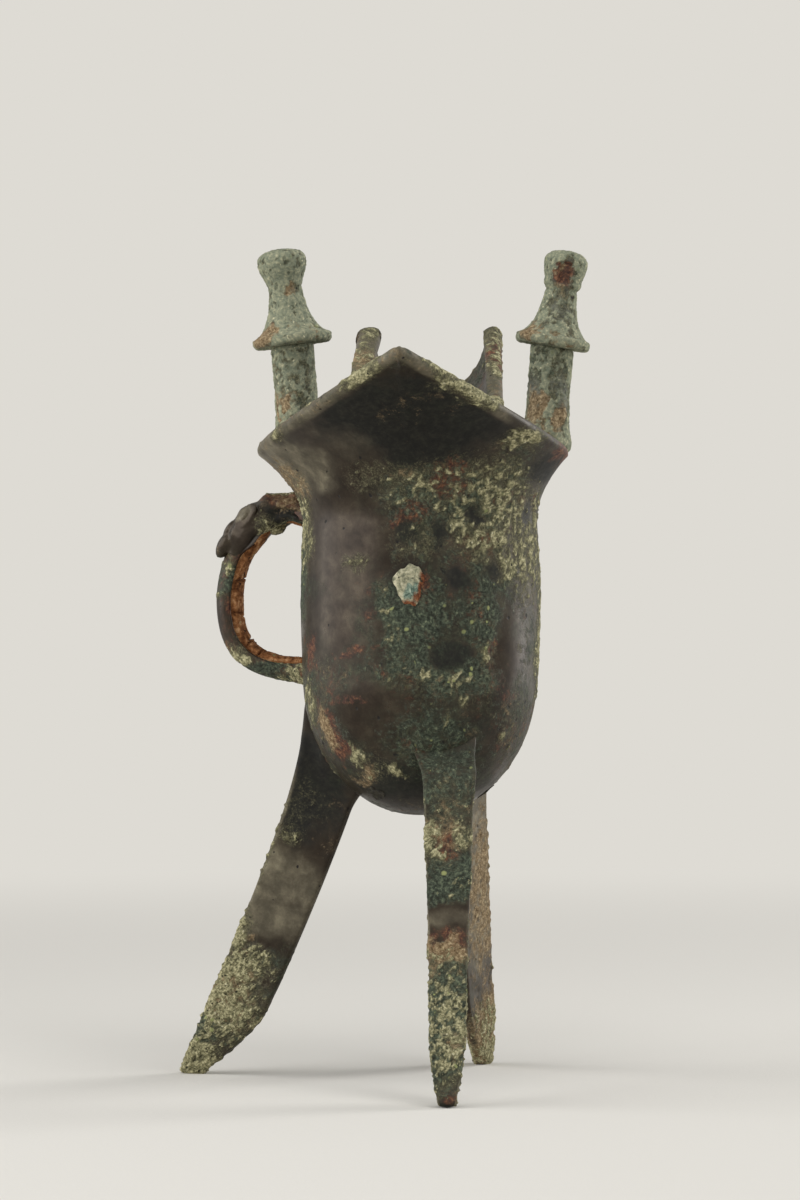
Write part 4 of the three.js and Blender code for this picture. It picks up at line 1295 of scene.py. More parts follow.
@dataclass
class CappedPost:
    """A post that straddles the rim on a forked foot, and the cap over its top."""

    place: str
    side: int
    shift: float
    height: float
    cap_lean: float
    flange: float
    neck: float
    knob: float
    rings: list[tuple[float, float, float]]  # height on the cap, how proud, and half its width
    lumps: list[tuple[float, ...]]  # crust on the shaft: place, reach along each axis, and how proud
    window: bool = False
    share: float = 0.5
    radius: float = 5.3
    foot_radius: float = 6.8
    fork: float = 5.5
    lean: float = 4
    gap: float = 0.3
    cap_height: float = 24
    flange_edge: float = 2.2
    neck_height: float = 13.8
    knob_height: float = 21
    socket: float = 4.1
    socket_depth: float = 6.3
    sides: int = 132
    spacing: float = 0.33

    def leaning(self, angle: float, place: Vector) -> Matrix:
        """A frame that stands at a place and leans outwards by an angle in degrees."""
        turn = Matrix.Rotation(math.radians(self.side * angle), 4, "Y")
        return Matrix.Translation(place) @ turn

    def seats(self) -> tuple[Matrix, Matrix]:
        """The frames of the shaft, on the middle of the rim's edge, and of the cap."""
        near = MOUTH.shoulder(np.array([self.share - 0.01, self.share, self.share + 0.01]))
        along = Vector(near[2] - near[0]).normalized()
        rise = MOUTH.flare_rise / (2 * MOUTH.flare_reach)
        outwards = Vector((1, 0, rise)).normalized().cross(along).normalized()
        if outwards.x < 0:
            outwards.negate()
        middle = Vector(near[1]) - outwards * MOUTH.rim_wall / 2
        middle.x = self.side * middle.x + self.shift
        shaft = self.leaning(self.lean, middle)
        return shaft, self.leaning(self.cap_lean, shaft @ Vector((0, 0, self.height)))

    def shaft_shell(self) -> Shell:
        """The shaft with its forked foot, its sides uneven as cast."""
        shaft, _ = self.seats()
        top = self.height - self.gap - self.radius * math.tan(math.radians(self.cap_lean - self.lean))
        corners = [
            (0, 1 - self.fork), (0.3 * self.foot_radius, 1 - self.fork), (0.68 * self.foot_radius, -2.4),
            (0.92 * self.foot_radius, -0.4), (0.95 * self.foot_radius, 1.2), (self.radius + 0.5, 4),
            (self.radius - 0.1, 9), (self.radius, top - 0.5), (self.radius - 0.5, top), (0, top),
        ]
        seed = 50 + self.side
        tilt = math.tan(math.radians(self.side * (self.cap_lean - self.lean)))

        def carve(points: Array) -> Array:
            """Makes the sides uneven, cuts the top to the cap's slope, and adds the lumps of crust."""
            flat = np.linalg.norm(points[:, :2], axis=1, keepdims=True)
            bent = points.copy()
            bent[:, :2] *= 1 + 0.2 * rough_noise(points, 7, seed)[:, None] / np.maximum(flat, 2)
            seat = self.height + 0.1 - bent[:, 0] * tilt
            bent[:, 2] += smooth_step(points[:, 2], top - 5, top - 0.6) * (seat - top)
            for lump in self.lumps:
                near = np.linalg.norm((points - lump[:3]) / lump[3:6], axis=1)
                proud = lump[6] * (1 - smooth_step(near, 0.5, 1))
                bent[:, :2] *= 1 + proud[:, None] / np.maximum(flat, 2)
            return bent

        return lathe_shell(even_profile(corners, self.spacing, 3), self.sides, shaft, carve)

    def cap_profile(self) -> Array:
        """The cap's profile from its hollow, round the flange and up to the crown."""
        low, high = self.neck_height, self.knob_height
        t = np.linspace(0, 1, 30)
        skirt = [
            (self.flange, self.flange_edge, 0), (0.72 * self.flange, self.flange_edge + 0.6, 0),
            (self.neck + 0.4, 0.5 * low, 0), (self.neck, low, 0),
        ]
        swell = [
            (self.neck, low, 0), (self.neck + 0.1, low + 3, 0), (self.knob, high - 3, 0),
            (self.knob, high, 0),
        ]
        crown = [
            (self.knob, high, 0), (self.knob, self.cap_height - 1.3, 0),
            (0.72 * self.knob, self.cap_height - 0.05, 0), (0, self.cap_height - 0.05, 0),
        ]
        outside = np.vstack([bezier(skirt, t), bezier(swell, t)[1:], bezier(crown, t)[1:]])[:, :2]
        for height, proud, wide in self.rings:
            outside[:, 0] += proud * hump(outside[:, 1], height, wide)
        under = [
            (0, self.socket_depth), (self.socket, self.socket_depth), (self.socket, 0),
            (self.flange - 0.7, 0),
        ]
        corners = [*under, (self.flange, 0.7), *map(tuple, outside)]
        return even_profile(corners, self.spacing, 1)

    def carve_cap(self, points: Array) -> Array:
        """Wears the cap: a lumpy flange, and on one cap the sunk place where the knob's skin is gone."""
        bent = points.copy()
        flat = np.linalg.norm(points[:, :2], axis=1)
        rim = smooth_step(flat, self.flange - 3, self.flange)
        lumps = rough_noise(points + (0, 0, 9 * self.side), 4.2, 57)
        bent[:, :2] *= 1 + (0.035 * rim * lumps)[:, None]
        bent[:, 2] += 0.35 * rim * lump_noise(points, 5, 58 + self.side)
        if self.window:
            turn = np.degrees(np.arctan2(points[:, 1], points[:, 0]))
            across = smooth_step(24 - np.abs(turn + 84), 0, 7)
            tall = smooth_step(points[:, 2], 15.3, 16) * (1 - smooth_step(points[:, 2], 20.6, 21.3))
            depth = 0.9 * across * tall * (flat > self.neck - 1.5)
            bent[:, :2] *= (1 - depth / np.maximum(flat, 1))[:, None]
        return bent

    def shaft(self) -> Piece:
        """The shaft with its growths."""
        piece = self.shaft_shell().object(f"post_{self.place}_shaft")
        seat, _ = self.seats()
        rows = [
            (BARE, (3, -5, 14), (3.4, 4, 9), 0.4 + 0.2 * self.side),
            (BARE, (-4.4, -3, 12), (2.6, 4, 10), 0.45 + 0.35 * self.side),
            (BARE, (3, -5, 6), (2.6, 3, 4), 0.9), (SOIL, (3, -5, 6), (2.6, 3, 4), 1.0),
            (BARE, (-3, -5, 12), (1.6, 3, 3), 0.9), (SOIL, (-3, -5, 12), (1.6, 3, 3), 1.0),
            (SOIL, (-4, -4, 8), (5, 5, 9), 0.8), (SOIL, (0, -5, 2), (7, 5, 4), 0.75),
            (VERDIGRIS, (0, 2, 14), (6, 6, 8), 0.6),
        ]
        base = {CRUST: 0.86, VERDIGRIS: 0.4, CUPRITE: 0.04, SOIL: 0.12}
        spread_growths(piece, patches_at(within(seat), rows), base, seed=41 + self.side)
        return piece

    def cap(self) -> Piece:
        """The cap with its growths."""
        _, seat = self.seats()
        shell = lathe_shell(self.cap_profile(), self.sides, seat, self.carve_cap)
        piece = shell.object(f"post_{self.place}_cap")
        rows = [
            (BARE, (-6.5, -5, 3), (4, 5, 3.2), 0.85), (BARE, (1, -5, 14), (3, 5, 2), 0.7),
            (SOIL, (-6, -6, 3), (6, 6, 4.4), 1.0), (CUPRITE, (-6.5, -5, 5), (4.4, 5, 4.4), 0.5),
            (SOIL, (3, -8, 2), (7, 5, 3), 0.8), (SOIL, (1, -5, 14), (4, 5, 4), 0.7),
            (CRUST, (0, 0, 23), (8, 8, 3.5), 0.9), (VERDIGRIS, (0, -5, 17.5), (6, 5, 3), 0.8),
        ]
        if self.window:
            rows += [
                (BARE, (0.4, -4.6, 18.1), (3.6, 4, 3.8), 1.0),
                (CUPRITE, (0.4, -4.4, 18.1), (4.2, 4, 4), 1.0),
                (SOIL, (-1, -4.2, 19.4), (1.6, 2, 1.6), 0.7), (BARE, (2, -6, 9), (5, 5, 6), 0.6),
            ]
        base = {CRUST: 0.86, VERDIGRIS: 0.38, CUPRITE: 0.05, SOIL: 0.14}
        spread_growths(piece, patches_at(within(seat), rows), base, seed=45 + self.side)
        return piece


def two_posts() -> list[CappedPost]:
    """The posts, which differ a little as castings from two moulds do."""
    handle_side = CappedPost(
        "handle_side", side=-1, shift=-0.9, height=25.4, cap_lean=7.5, flange=9.7, neck=4.05, knob=6,
        rings=[(10.6, 0.22, 0.35), (15.2, 0.18, 0.3)], lumps=[(4.5, -3, 17, 2.5, 2.5, 4, 0.35)],
    )
    far_side = CappedPost(
        "far_side", side=1, shift=0.5, height=24.8, cap_lean=9.5, flange=9.2, neck=3.9, knob=5.3,
        rings=[(15.6, 0.4, 0.9), (14.2, -0.3, 0.35), (9.6, 0.2, 0.3)],
        lumps=[(4.2, -3.6, 9, 2.6, 3, 4.4, 0.8), (1.5, -5, 4.5, 2.2, 3, 3, 0.6)], window=True,
    )
    return [handle_side, far_side]


@dataclass
class WallSpacers:
    """The spacers that held mould and core apart, left in the metal as pale lumps."""

    wide: float = 3.5
    tall: float = 4.9
    proud: float = 0.8
    rise: float = 22.8
    angle: float = -92
    base_radius: float = 2.35
    base_proud: float = 0.25
    base_polar: float = 34
    base_angles: tuple[float, ...] = (-128, 0, 122)
    depth: float = 1.2

    def lump(self, name: str, place: Matrix, size: Place, seed: int, dullness: float = 0.0) -> Piece:
        """One spacer as a low lump with a hollowed, uneven face.

        Args:
            name: its name.
            place: its frame on the wall.
            size: its half width, half height and how proud it stands.
            seed: picks its unevenness.
            dullness: how far the wall's black layer, black patina and painted shade alike, has closed over
                it.
        """
        wide, tall, proud = size
        steps = np.linspace(1, 0, 22)
        dome = [(r, proud * (1 - r**4) * (1 - 0.62 * (1 - r) ** 1.3)) for r in steps]
        profile = np.array([(0, -self.depth), (0.5, -self.depth), (0.94, -self.depth), (1, -0.4), *dome])

        def carve(points: Array) -> Array:
            """Brings the lump to its size, with an uneven outline and an uneven face."""
            turn = np.arctan2(points[:, 1], points[:, 0])
            uneven = 1 + 0.1 * np.sin(3 * turn + seed) + 0.06 * np.sin(5 * turn) + 0.04 * np.sin(9 * turn)
            bent = points * (wide, tall, 1)
            bent[:, :2] *= uneven[:, None]
            front = points[:, 2] > 0
            bent[:, 2] += np.where(front, 0.16 * rough_noise(bent, 2.0, seed), 0)
            return bent

        piece = lathe_shell(profile, 48, place, carve).object(name)
        base = {CRUST: 0.45, BLACK: dullness}
        rows = [
            (CUPRITE, (0.95 * wide, 0.2 * tall, 0), (2.6, 3, 5), 1.0),
            (CUPRITE, (0.2 * wide, -0.9 * tall, 0), (4, 3, 2.4), 1.0),
            (VERDIGRIS, (0.1, 0.1, 0), (0.6 * wide, 2, 0.6 * tall), 1.0),
        ]
        spread_growths(piece, patches_at(within(place), rows), base, seed=seed)
        return piece

    def seat(self, place: Place, direction: Place) -> Matrix:
        """A frame on the wall, its z axis out of the wall and its y axis up."""
        out = Vector(direction).normalized()
        across = Vector((0, 0, 1)).cross(out).normalized()
        turn = Matrix((across, out.cross(across), out)).transposed().to_4x4()
        return Matrix.Translation(Vector(place)) @ turn

    def wall_spacer(self) -> Piece:
        """The spacer on the tail side."""
        spot = CUP.spot(self.angle, CUP.wall_foot + self.rise)
        seat = self.seat(spot, (spot[0], spot[1], 0))
        return self.lump("spacer_in_tail_wall", seat, (self.wide, self.tall, self.proud), 81)

    def base_spacers(self) -> list[Piece]:
        """The spacers in the underside."""
        height = CUP.wall_foot - CUP.base_depth * math.cos(math.radians(self.base_polar))
        made = []
        for number, angle in enumerate(self.base_angles, start=1):
            spot = CUP.spot(angle, height)
            up = (height - CUP.wall_foot) / CUP.base_depth**2
            seat = self.seat(spot, (spot[0] / CUP.radius**2, spot[1] / CUP.radius**2, up))
            size = (self.base_radius, self.base_radius, self.base_proud)
            made.append(self.lump(f"spacer_in_base_{number}", seat, size, 82 + number, dullness=0.9))
        return made


# Trees of nodes


def add_node(
    tree: Tree, kind: str, inputs: dict | tuple = (), stops: tuple = (), **settings: object,
) -> bpy.types.bpy_prop_collection:
    """Adds a node to a tree.

    Args:
        tree: the material's or the geometry's tree.
        kind: the node's type.
        inputs: what goes into its sockets, in their order or by name: another node's socket, or a value.
        stops: for a colour ramp, its places and sRGB hex colours.
        settings: its other settings.

    Returns:
        Its output sockets.
    """
    node = tree.nodes.new(kind)
    for name, value in settings.items():
        setattr(node, name, value)
    for key, value in inputs.items() if isinstance(inputs, dict) else enumerate(inputs):
        if isinstance(value, Socket):
            tree.links.new(value, node.inputs[key])
        else:
            node.inputs[key].default_value = value
    for number, (place, colour) in enumerate(stops):
        elements = node.color_ramp.elements
        element = elements[number] if number < len(elements) else elements.new(place)
        element.position = place
        element.color = linear(colour)
    return node.outputs


def empty_tree(block: bpy.types.Material | bpy.types.World) -> Tree:
    """The node tree of a material or a world, emptied."""
    block.use_nodes = True
    block.node_tree.nodes.clear()
    return block.node_tree


def linear(hex_colour: str) -> tuple[float, float, float, float]:
    """An sRGB hex colour as linear red, green, blue and alpha."""
    parts = [int(hex_colour[k : k + 2], 16) / 255 for k in (0, 2, 4)]
    return (*(c / 12.92 if c <= 0.04045 else ((c + 0.055) / 1.055) ** 2.4 for c in parts), 1.0)


def new_geometry_tree(name: str, sizes: dict[str, tuple[str, float | None]]) -> tuple:
    """A tree of geometry nodes with a geometry in and out and named inputs.

    Args:
        name: the tree's name.
        sizes: each further input's socket type and default value.

    Returns:
        The tree, and the sockets of what it is given.
    """
    tree = bpy.data.node_groups.new(name, "GeometryNodeTree")
    face = tree.interface
    face.new_socket("Geometry", in_out="INPUT", socket_type="NodeSocketGeometry")
    face.new_socket("Geometry", in_out="OUTPUT", socket_type="NodeSocketGeometry")
    for label, (kind, value) in sizes.items():
        socket = face.new_socket(label, in_out="INPUT", socket_type=kind)
        if value is not None:
            socket.default_value = value
    return tree, add_node(tree, "NodeGroupInput")


def end_tree(tree: Tree, geometry: Socket, kept: dict[str, object], material: Socket) -> None:
    """Ends a tree of geometry nodes: values kept at the points by name, real meshes, and one material."""
    kind = "GeometryNodeStoreNamedAttribute"
    for name, value in kept.items():
        given = {"Geometry": geometry, "Name": name, "Value": value}
        geometry = add_node(tree, kind, given, data_type="FLOAT", domain="POINT")[0]
    real = add_node(tree, "GeometryNodeRealizeInstances", (geometry,))[0]
    dressed = add_node(tree, "GeometryNodeSetMaterial", {"Geometry": real, "Material": material})[0]
    add_node(tree, "NodeGroupOutput", (dressed,))


def run_tree(piece: Piece, tree: Tree, values: dict[str, object]) -> None:
    """Runs a tree on a piece, its inputs set by identifier, and keeps the result as the piece's mesh."""
    step = piece.modifiers.new(tree.name, "NODES")
    step.node_group = tree
    for item in tree.interface.items_tree:
        if item.in_out == "INPUT" and item.name in values:
            step[item.identifier] = values[item.name]
    make_plain(piece)


def relief_tree() -> Tree:
    """Raises crust, verdigris and soil off a surface and pits it, and stores how far it is crusted."""
    tree, given = new_geometry_tree(
        "corrosion relief",
        {
            "Height": ("NodeSocketFloat", 0.0005), "Lump Size": ("NodeSocketFloat", 0.0024),
            "Shift": ("NodeSocketFloat", 0.0), "Material": ("NodeSocketMaterial", None),
        },
    )
    place = add_node(tree, "GeometryNodeInputPosition")[0]
    slid = add_node(tree, "ShaderNodeVectorMath", (place, given["Shift"]), operation="ADD")[0]
    frequency = add_node(tree, "ShaderNodeMath", (1.0, given["Lump Size"]), operation="DIVIDE")[0]
    finer = add_node(tree, "ShaderNodeMath", (frequency, 2.6), operation="MULTIPLY")[0]
    rough = {"Vector": slid, "Detail": 6.0, "Roughness": 0.62}
    broad = add_node(tree, "ShaderNodeTexNoise", {"Scale": frequency, **rough})[0]
    fine = add_node(tree, "ShaderNodeTexNoise", {"Scale": finer, **rough})[0]
    swing = add_node(tree, "ShaderNodeMath", (broad, 3.0, -1.5), operation="MULTIPLY_ADD")[0]
    top = 0.0
    covers = {}
    for growth, part in ((CRUST, 1.0), (VERDIGRIS, 0.3), (SOIL, 0.55)):
        kind = "GeometryNodeInputNamedAttribute"
        usual = add_node(tree, kind, (growth.value,), data_type="FLOAT")["Attribute"]
        gate = (usual, 4.0)
        there = add_node(tree, "ShaderNodeMath", gate, operation="MULTIPLY", use_clamp=True)[0]
        moved = (swing, there, usual)
        level = add_node(tree, "ShaderNodeMath", moved, operation="MULTIPLY_ADD")[0]
        ease = {"Value": level, "From Min": 0.46, "From Max": 0.92}
        covers[growth] = add_node(tree, "ShaderNodeMapRange", ease, interpolation_type="SMOOTHSTEP")[0]
        share = add_node(tree, "ShaderNodeMath", (covers[growth], part), operation="MULTIPLY")[0]
        top = add_node(tree, "ShaderNodeMath", (top, share), operation="MAXIMUM")[0]
    grain = add_node(tree, "ShaderNodeMath", (fine, 2.4, -0.45), operation="MULTIPLY_ADD")[0]
    raised = add_node(tree, "ShaderNodeMath", (top, grain), operation="MULTIPLY")[0]
    centred = add_node(tree, "ShaderNodeMath", (raised, 0.3), operation="SUBTRACT")[0]
    lift = add_node(tree, "ShaderNodeMath", (centred, given["Height"]), operation="MULTIPLY")[0]
    normal = add_node(tree, "GeometryNodeInputNormal")[0]
    push = add_node(tree, "ShaderNodeVectorMath", {0: normal, "Scale": lift}, operation="SCALE")[0]
    moved = {"Geometry": given["Geometry"], "Offset": push}
    held = add_node(tree, "GeometryNodeSetPosition", moved)[0]
    end_tree(tree, held, {"scab": covers[CRUST], "relief": raised}, given["Material"])
    return tree


def grain_tree() -> Tree:
    """Scatters small separate grains of crust where a surface is crusted."""
    tree, given = new_geometry_tree(
        "crust grains",
        {
            "Density": ("NodeSocketFloat", 300000.0), "Smallest": ("NodeSocketFloat", 0.0002),
            "Largest": ("NodeSocketFloat", 0.0005), "Seed": ("NodeSocketInt", 1),
            "Material": ("NodeSocketMaterial", None),
        },
    )
    kind = "GeometryNodeInputNamedAttribute"
    names = ("scab", CRUST.value)
    crusted = tuple(add_node(tree, kind, (name,), data_type="FLOAT")["Attribute"] for name in names)
    thick = add_node(tree, "ShaderNodeMath", crusted, operation="MULTIPLY")[0]
    amount = add_node(tree, "ShaderNodeMath", (thick, given["Density"]), operation="MULTIPLY")[0]
    seed = {"Seed": given["Seed"]}
    strewn = {"Mesh": given["Geometry"], "Density": amount, **seed}
    spread = add_node(tree, "GeometryNodeDistributePointsOnFaces", strewn)
    blob = add_node(tree, "GeometryNodeMeshIcoSphere", {"Radius": 1.0, "Subdivisions": 1})["Mesh"]
    between = {0: (0.55, 0.55, 0.35), 1: (1.25, 1.25, 0.8), **seed}
    form = add_node(tree, "FunctionNodeRandomValue", between, data_type="FLOAT_VECTOR")[0]
    limits = {2: given["Smallest"], 3: given["Largest"], **seed}
    size = add_node(tree, "FunctionNodeRandomValue", limits, data_type="FLOAT")[1]
    scale = add_node(tree, "ShaderNodeVectorMath", {0: form, "Scale": size}, operation="SCALE")[0]
    on_points = {"Instance": blob, "Scale": scale, **{key: spread[key] for key in ("Points", "Rotation")}}
    grains = add_node(tree, "GeometryNodeInstanceOnPoints", on_points)[0]
    real = add_node(tree, "GeometryNodeRealizeInstances", {"Geometry": grains})[0]
    held = add_node(tree, "GeometryNodeSetShadeSmooth", {"Geometry": real})[0]
    kept = dict.fromkeys((CRUST.value, "scab", "relief"), 1.0)
    end_tree(tree, held, kept, given["Material"])
    return tree


# Finishes


@dataclass(frozen=True)
class Skin:
    """What a surface is so far, each as a socket of its material's tree or as one value for all of it."""

    colour: Socket | tuple
    roughness: Socket | float
    metal: Socket | float
    height: Socket | float

    def cover(self, tree: Tree, share: Socket, over: "Skin") -> "Skin":
        """This skin with another laid over it where the share is 1."""
        both = {0: share, 6: self.colour, 7: over.colour}
        colour = add_node(tree, "ShaderNodeMix", both, data_type="RGBA")[2]
        plain = []
        for name in ("roughness", "metal", "height"):
            low, high = getattr(self, name), getattr(over, name)
            if low == high:
                plain.append(low)
            else:
                ends = {0: share, 2: low, 3: high}
                plain.append(add_node(tree, "ShaderNodeMix", ends, data_type="FLOAT")[0])
        return Skin(colour, *plain)


@dataclass(frozen=True)
class Coat:
    """One growth as a layer: where it lies, its colours, its gloss and its height. Sizes are in mm.

    Its patches follow the mesh's attribute, with an edge that noise breaks up. A finer noise runs through
    its colours and makes its grit.
    """

    colours: tuple[tuple[float, str], ...]
    grain_size: float
    roughness: float
    mark: str = ""
    patch_size: float = 1.0
    swing: float = 0.0  # how far noise moves the level that the layer ends at
    edge: float = 0.1  # how soft that end is
    metal: float = 0.0
    rise: float = 0.0
    grit: float = 0.0
    relief: float = 0.0
    shift: float = 0.0
    veil: float = 1.0  # how much of what is under it a full layer hides
    ragged: float = 0.72  # how broken up its edges are

    def skin(self, tree: Tree, place: Socket) -> Skin:
        """The layer on its own."""
        slid = add_node(tree, "ShaderNodeVectorMath", (place, (self.shift, 7.0, -self.shift)))[0]
        grain = {"Vector": slid, "Scale": 1 / self.grain_size, "Detail": 7.0, "Roughness": 0.68}
        noise = add_node(tree, "ShaderNodeTexNoise", grain)[0]
        lead = noise
        if self.relief:
            high = add_node(tree, "ShaderNodeAttribute", attribute_name="relief")["Fac"]
            given = (high, self.relief, noise)
            lead = add_node(tree, "ShaderNodeMath", given, operation="MULTIPLY_ADD")[0]
        colour = add_node(tree, "ShaderNodeValToRGB", (lead,), self.colours)[0]
        gloss = (noise, -0.3, self.roughness + 0.15)
        roughness = add_node(tree, "ShaderNodeMath", gloss, operation="MULTIPLY_ADD")[0]
        rise = (noise, 2 * self.grit, self.rise - self.grit)
        height = add_node(tree, "ShaderNodeMath", rise, operation="MULTIPLY_ADD")[0]
        return Skin(colour, roughness, self.metal, height)

    def share(self, tree: Tree, place: Socket) -> Socket:
        """How far the layer covers each place."""
        level = add_node(tree, "ShaderNodeAttribute", attribute_name=self.mark)["Fac"]
        slid = add_node(tree, "ShaderNodeVectorMath", (place, (-self.shift, 3.0, self.shift)))[0]
        patch = {"Vector": slid, "Scale": 1 / self.patch_size, "Detail": 7.0, "Roughness": self.ragged}
        noise = add_node(tree, "ShaderNodeTexNoise", patch)[0]
        swing = (noise, self.swing, -0.5 * self.swing)
        moved = add_node(tree, "ShaderNodeMath", swing, operation="MULTIPLY_ADD")[0]
        gate = (level, 4.0)
        there = add_node(tree, "ShaderNodeMath", gate, operation="MULTIPLY", use_clamp=True)[0]
        given = (moved, there, level)
        total = add_node(tree, "ShaderNodeMath", given, operation="MULTIPLY_ADD")[0]
        ease = {
            "Value": total, "From Min": 0.5 - self.edge, "From Max": 0.5 + self.edge, "To Max": self.veil,
        }
        return add_node(tree, "ShaderNodeMapRange", ease, interpolation_type="SMOOTHSTEP")[0]


@dataclass(frozen=True)
class Specks:
    """Small separate spots or pits, in some of the cells of a pattern. Sizes are in mm."""

    colour: str
    cell: float
    radius: float
    part: float
    rise: float
    roughness: float = 0.85
    mark: str = ""
    shift: float = 0.0

    def lay(self, tree: Tree, place: Socket, skin: Skin) -> Skin:
        """The skin with the specks on it."""
        slid = add_node(tree, "ShaderNodeVectorMath", (place, (self.shift, -self.shift, 5.0)))[0]
        cells = add_node(tree, "ShaderNodeTexVoronoi", {"Vector": slid, "Scale": 1 / self.cell})
        chances = add_node(tree, "ShaderNodeSeparateColor", (cells["Color"],))
        reach = (chances[1], 1.5 * self.radius)
        size = add_node(tree, "ShaderNodeMath", reach, operation="MULTIPLY")[0]
        core = add_node(tree, "ShaderNodeMath", (size, 0.5), operation="MULTIPLY")[0]
        ease = {"Value": cells["Distance"], "From Min": size, "From Max": core}
        spot = add_node(tree, "ShaderNodeMapRange", ease, interpolation_type="SMOOTHSTEP")[0]
        chosen = (chances[0], self.part)
        limit = add_node(tree, "ShaderNodeMath", chosen, operation="LESS_THAN")[0]
        share = add_node(tree, "ShaderNodeMath", (spot, limit), operation="MULTIPLY")[0]
        if self.mark:
            level = add_node(tree, "ShaderNodeAttribute", attribute_name=self.mark)["Fac"]
            strong = {"Value": level, "From Min": 0.25, "From Max": 0.7}
            allowed = add_node(tree, "ShaderNodeMapRange", strong, interpolation_type="SMOOTHSTEP")[0]
            share = add_node(tree, "ShaderNodeMath", (share, allowed), operation="MULTIPLY")[0]
        height = add_node(tree, "ShaderNodeMath", (skin.height, self.rise), operation="ADD")[0]
        return skin.cover(tree, share, Skin(linear(self.colour), self.roughness, 0.0, height))


@dataclass(frozen=True)
class Finish:
    """A ground with coats and specks over it, in the order that they lie."""

    name: str
    ground: Coat
    layers: tuple[Coat | Specks, ...]
    warp: float = 1.4
    warp_size: float = 5.0
    specular: float = 0.26
    bump: float = 1.0

    def build(self) -> bpy.types.Material:
        """The finish as a material."""
        material = bpy.data.materials.new(self.name)
        tree = empty_tree(material)
        where = add_node(tree, "ShaderNodeTexCoord")["Object"]
        scaled = {0: where, "Scale": 1 / MM}
        in_mm = add_node(tree, "ShaderNodeVectorMath", scaled, operation="SCALE")[0]
        stir = {"Vector": in_mm, "Scale": 1 / self.warp_size, "Detail": 3.0}
        swirl = add_node(tree, "ShaderNodeTexNoise", stir)["Color"]
        middle = (swirl, (0.5, 0.5, 0.5))
        centred = add_node(tree, "ShaderNodeVectorMath", middle, operation="SUBTRACT")[0]
        drift = {0: centred, "Scale": 2 * self.warp}
        push = add_node(tree, "ShaderNodeVectorMath", drift, operation="SCALE")[0]
        place = add_node(tree, "ShaderNodeVectorMath", (in_mm, push), operation="ADD")[0]
        skin = self.ground.skin(tree, place)
        for layer in self.layers:
            if isinstance(layer, Specks):
                skin = layer.lay(tree, place, skin)
            else:
                skin = skin.cover(tree, layer.share(tree, place), layer.skin(tree, place))
        relief = {"Strength": self.bump, "Distance": MM, "Height": skin.height}
        normal = add_node(tree, "ShaderNodeBump", relief)[0]
        surface = {
            "Base Color": skin.colour, "Roughness": skin.roughness, "Metallic": skin.metal,
            "Specular IOR Level": self.specular, "Normal": normal,
        }
        shader = add_node(tree, "ShaderNodeBsdfPrincipled", surface)[0]
        add_node(tree, "ShaderNodeOutputMaterial", {"Surface": shader})
        return material


def bronze_layers(crust: Coat) -> tuple[Coat | Specks, ...]:
    """The growths on buried bronze from the metal outwards, under a given crust."""
    # The black layer: near-black patina, and painted shade where the black mark lies under the tail, the
    # belly, the rim and a leg's top.
    black = Coat(
        mark="black", colours=((0.36, "0b0a07"), (0.5, "13120d"), (0.64, "201f17")), patch_size=8,
        swing=1.1, edge=0.32, grain_size=1.6, roughness=0.6, grit=0.01, shift=17,
    )
    film = Coat(
        mark="film", colours=((0.34, "443f33"), (0.46, "565041"), (0.56, "696251"), (0.66, "807964")),
        patch_size=9, swing=0.7, edge=0.34, grain_size=6.0, roughness=0.5, metal=0.12, grit=0.006,
        shift=3, veil=0.92,
    )
    tarnish = Coat(
        mark="verdigris", colours=((0.36, "191d14"), (0.5, "2c3324"), (0.64, "4b543d")), patch_size=7,
        swing=2.6, edge=0.5, grain_size=0.9, roughness=0.7, grit=0.02, shift=23, veil=0.7,
    )
    cuprite = Coat(
        mark="cuprite", colours=((0.34, "27120d"), (0.45, "3f2118"), (0.55, "623c28"), (0.66, "8b5f40")),
        patch_size=3.4, swing=2.2, edge=0.26, grain_size=0.8, roughness=0.6, rise=0.01, grit=0.02,
        shift=11, veil=0.9,
    )
    verdigris = Coat(
        mark="verdigris",
        colours=((0.33, "181a13"), (0.43, "2a2f26"), (0.52, "40483c"), (0.62, "5f6853"), (0.72, "919577")),
        patch_size=2.6, swing=2.8, edge=0.24, grain_size=0.85, roughness=0.84, rise=0.03, grit=0.1,
        shift=19, veil=0.9, ragged=0.85,
    )
    soil = Coat(
        mark="soil", colours=((0.34, "493926"), (0.46, "746146"), (0.56, "978364"), (0.67, "bdac88")),
        patch_size=3.0, swing=2.2, edge=0.24, grain_size=0.7, roughness=0.9, rise=0.04, grit=0.05,
        shift=29, veil=0.9, ragged=0.8,
    )
    dust = Coat(
        mark="crust", colours=((0.36, "2b2b20"), (0.46, "484634"), (0.55, "69664c"), (0.65, "918b6a")),
        patch_size=1.2, swing=2.6, edge=0.34, grain_size=0.5, roughness=0.9, rise=0.02, grit=0.06,
        shift=43, veil=0.8, ragged=0.85,
    )
    return (
        black, film, tarnish, dust,
        Specks("120e0a", cell=1.9, radius=0.24, part=0.16, rise=-0.05, roughness=0.6, shift=2), cuprite,
        verdigris, soil, crust,
        Specks("8f9462", cell=1.9, radius=0.29, part=0.26, rise=0.05, mark="verdigris", shift=5),
        Specks("9c9272", cell=1.5, radius=0.22, part=0.12, rise=0.04, mark="soil", shift=8),
        Specks("c3bd9d", cell=0.85, radius=0.3, part=0.22, rise=0.08, mark="scab", shift=31),
        Specks("1f2117", cell=0.9, radius=0.28, part=0.3, rise=-0.1, roughness=0.8, mark="scab", shift=13),
    )


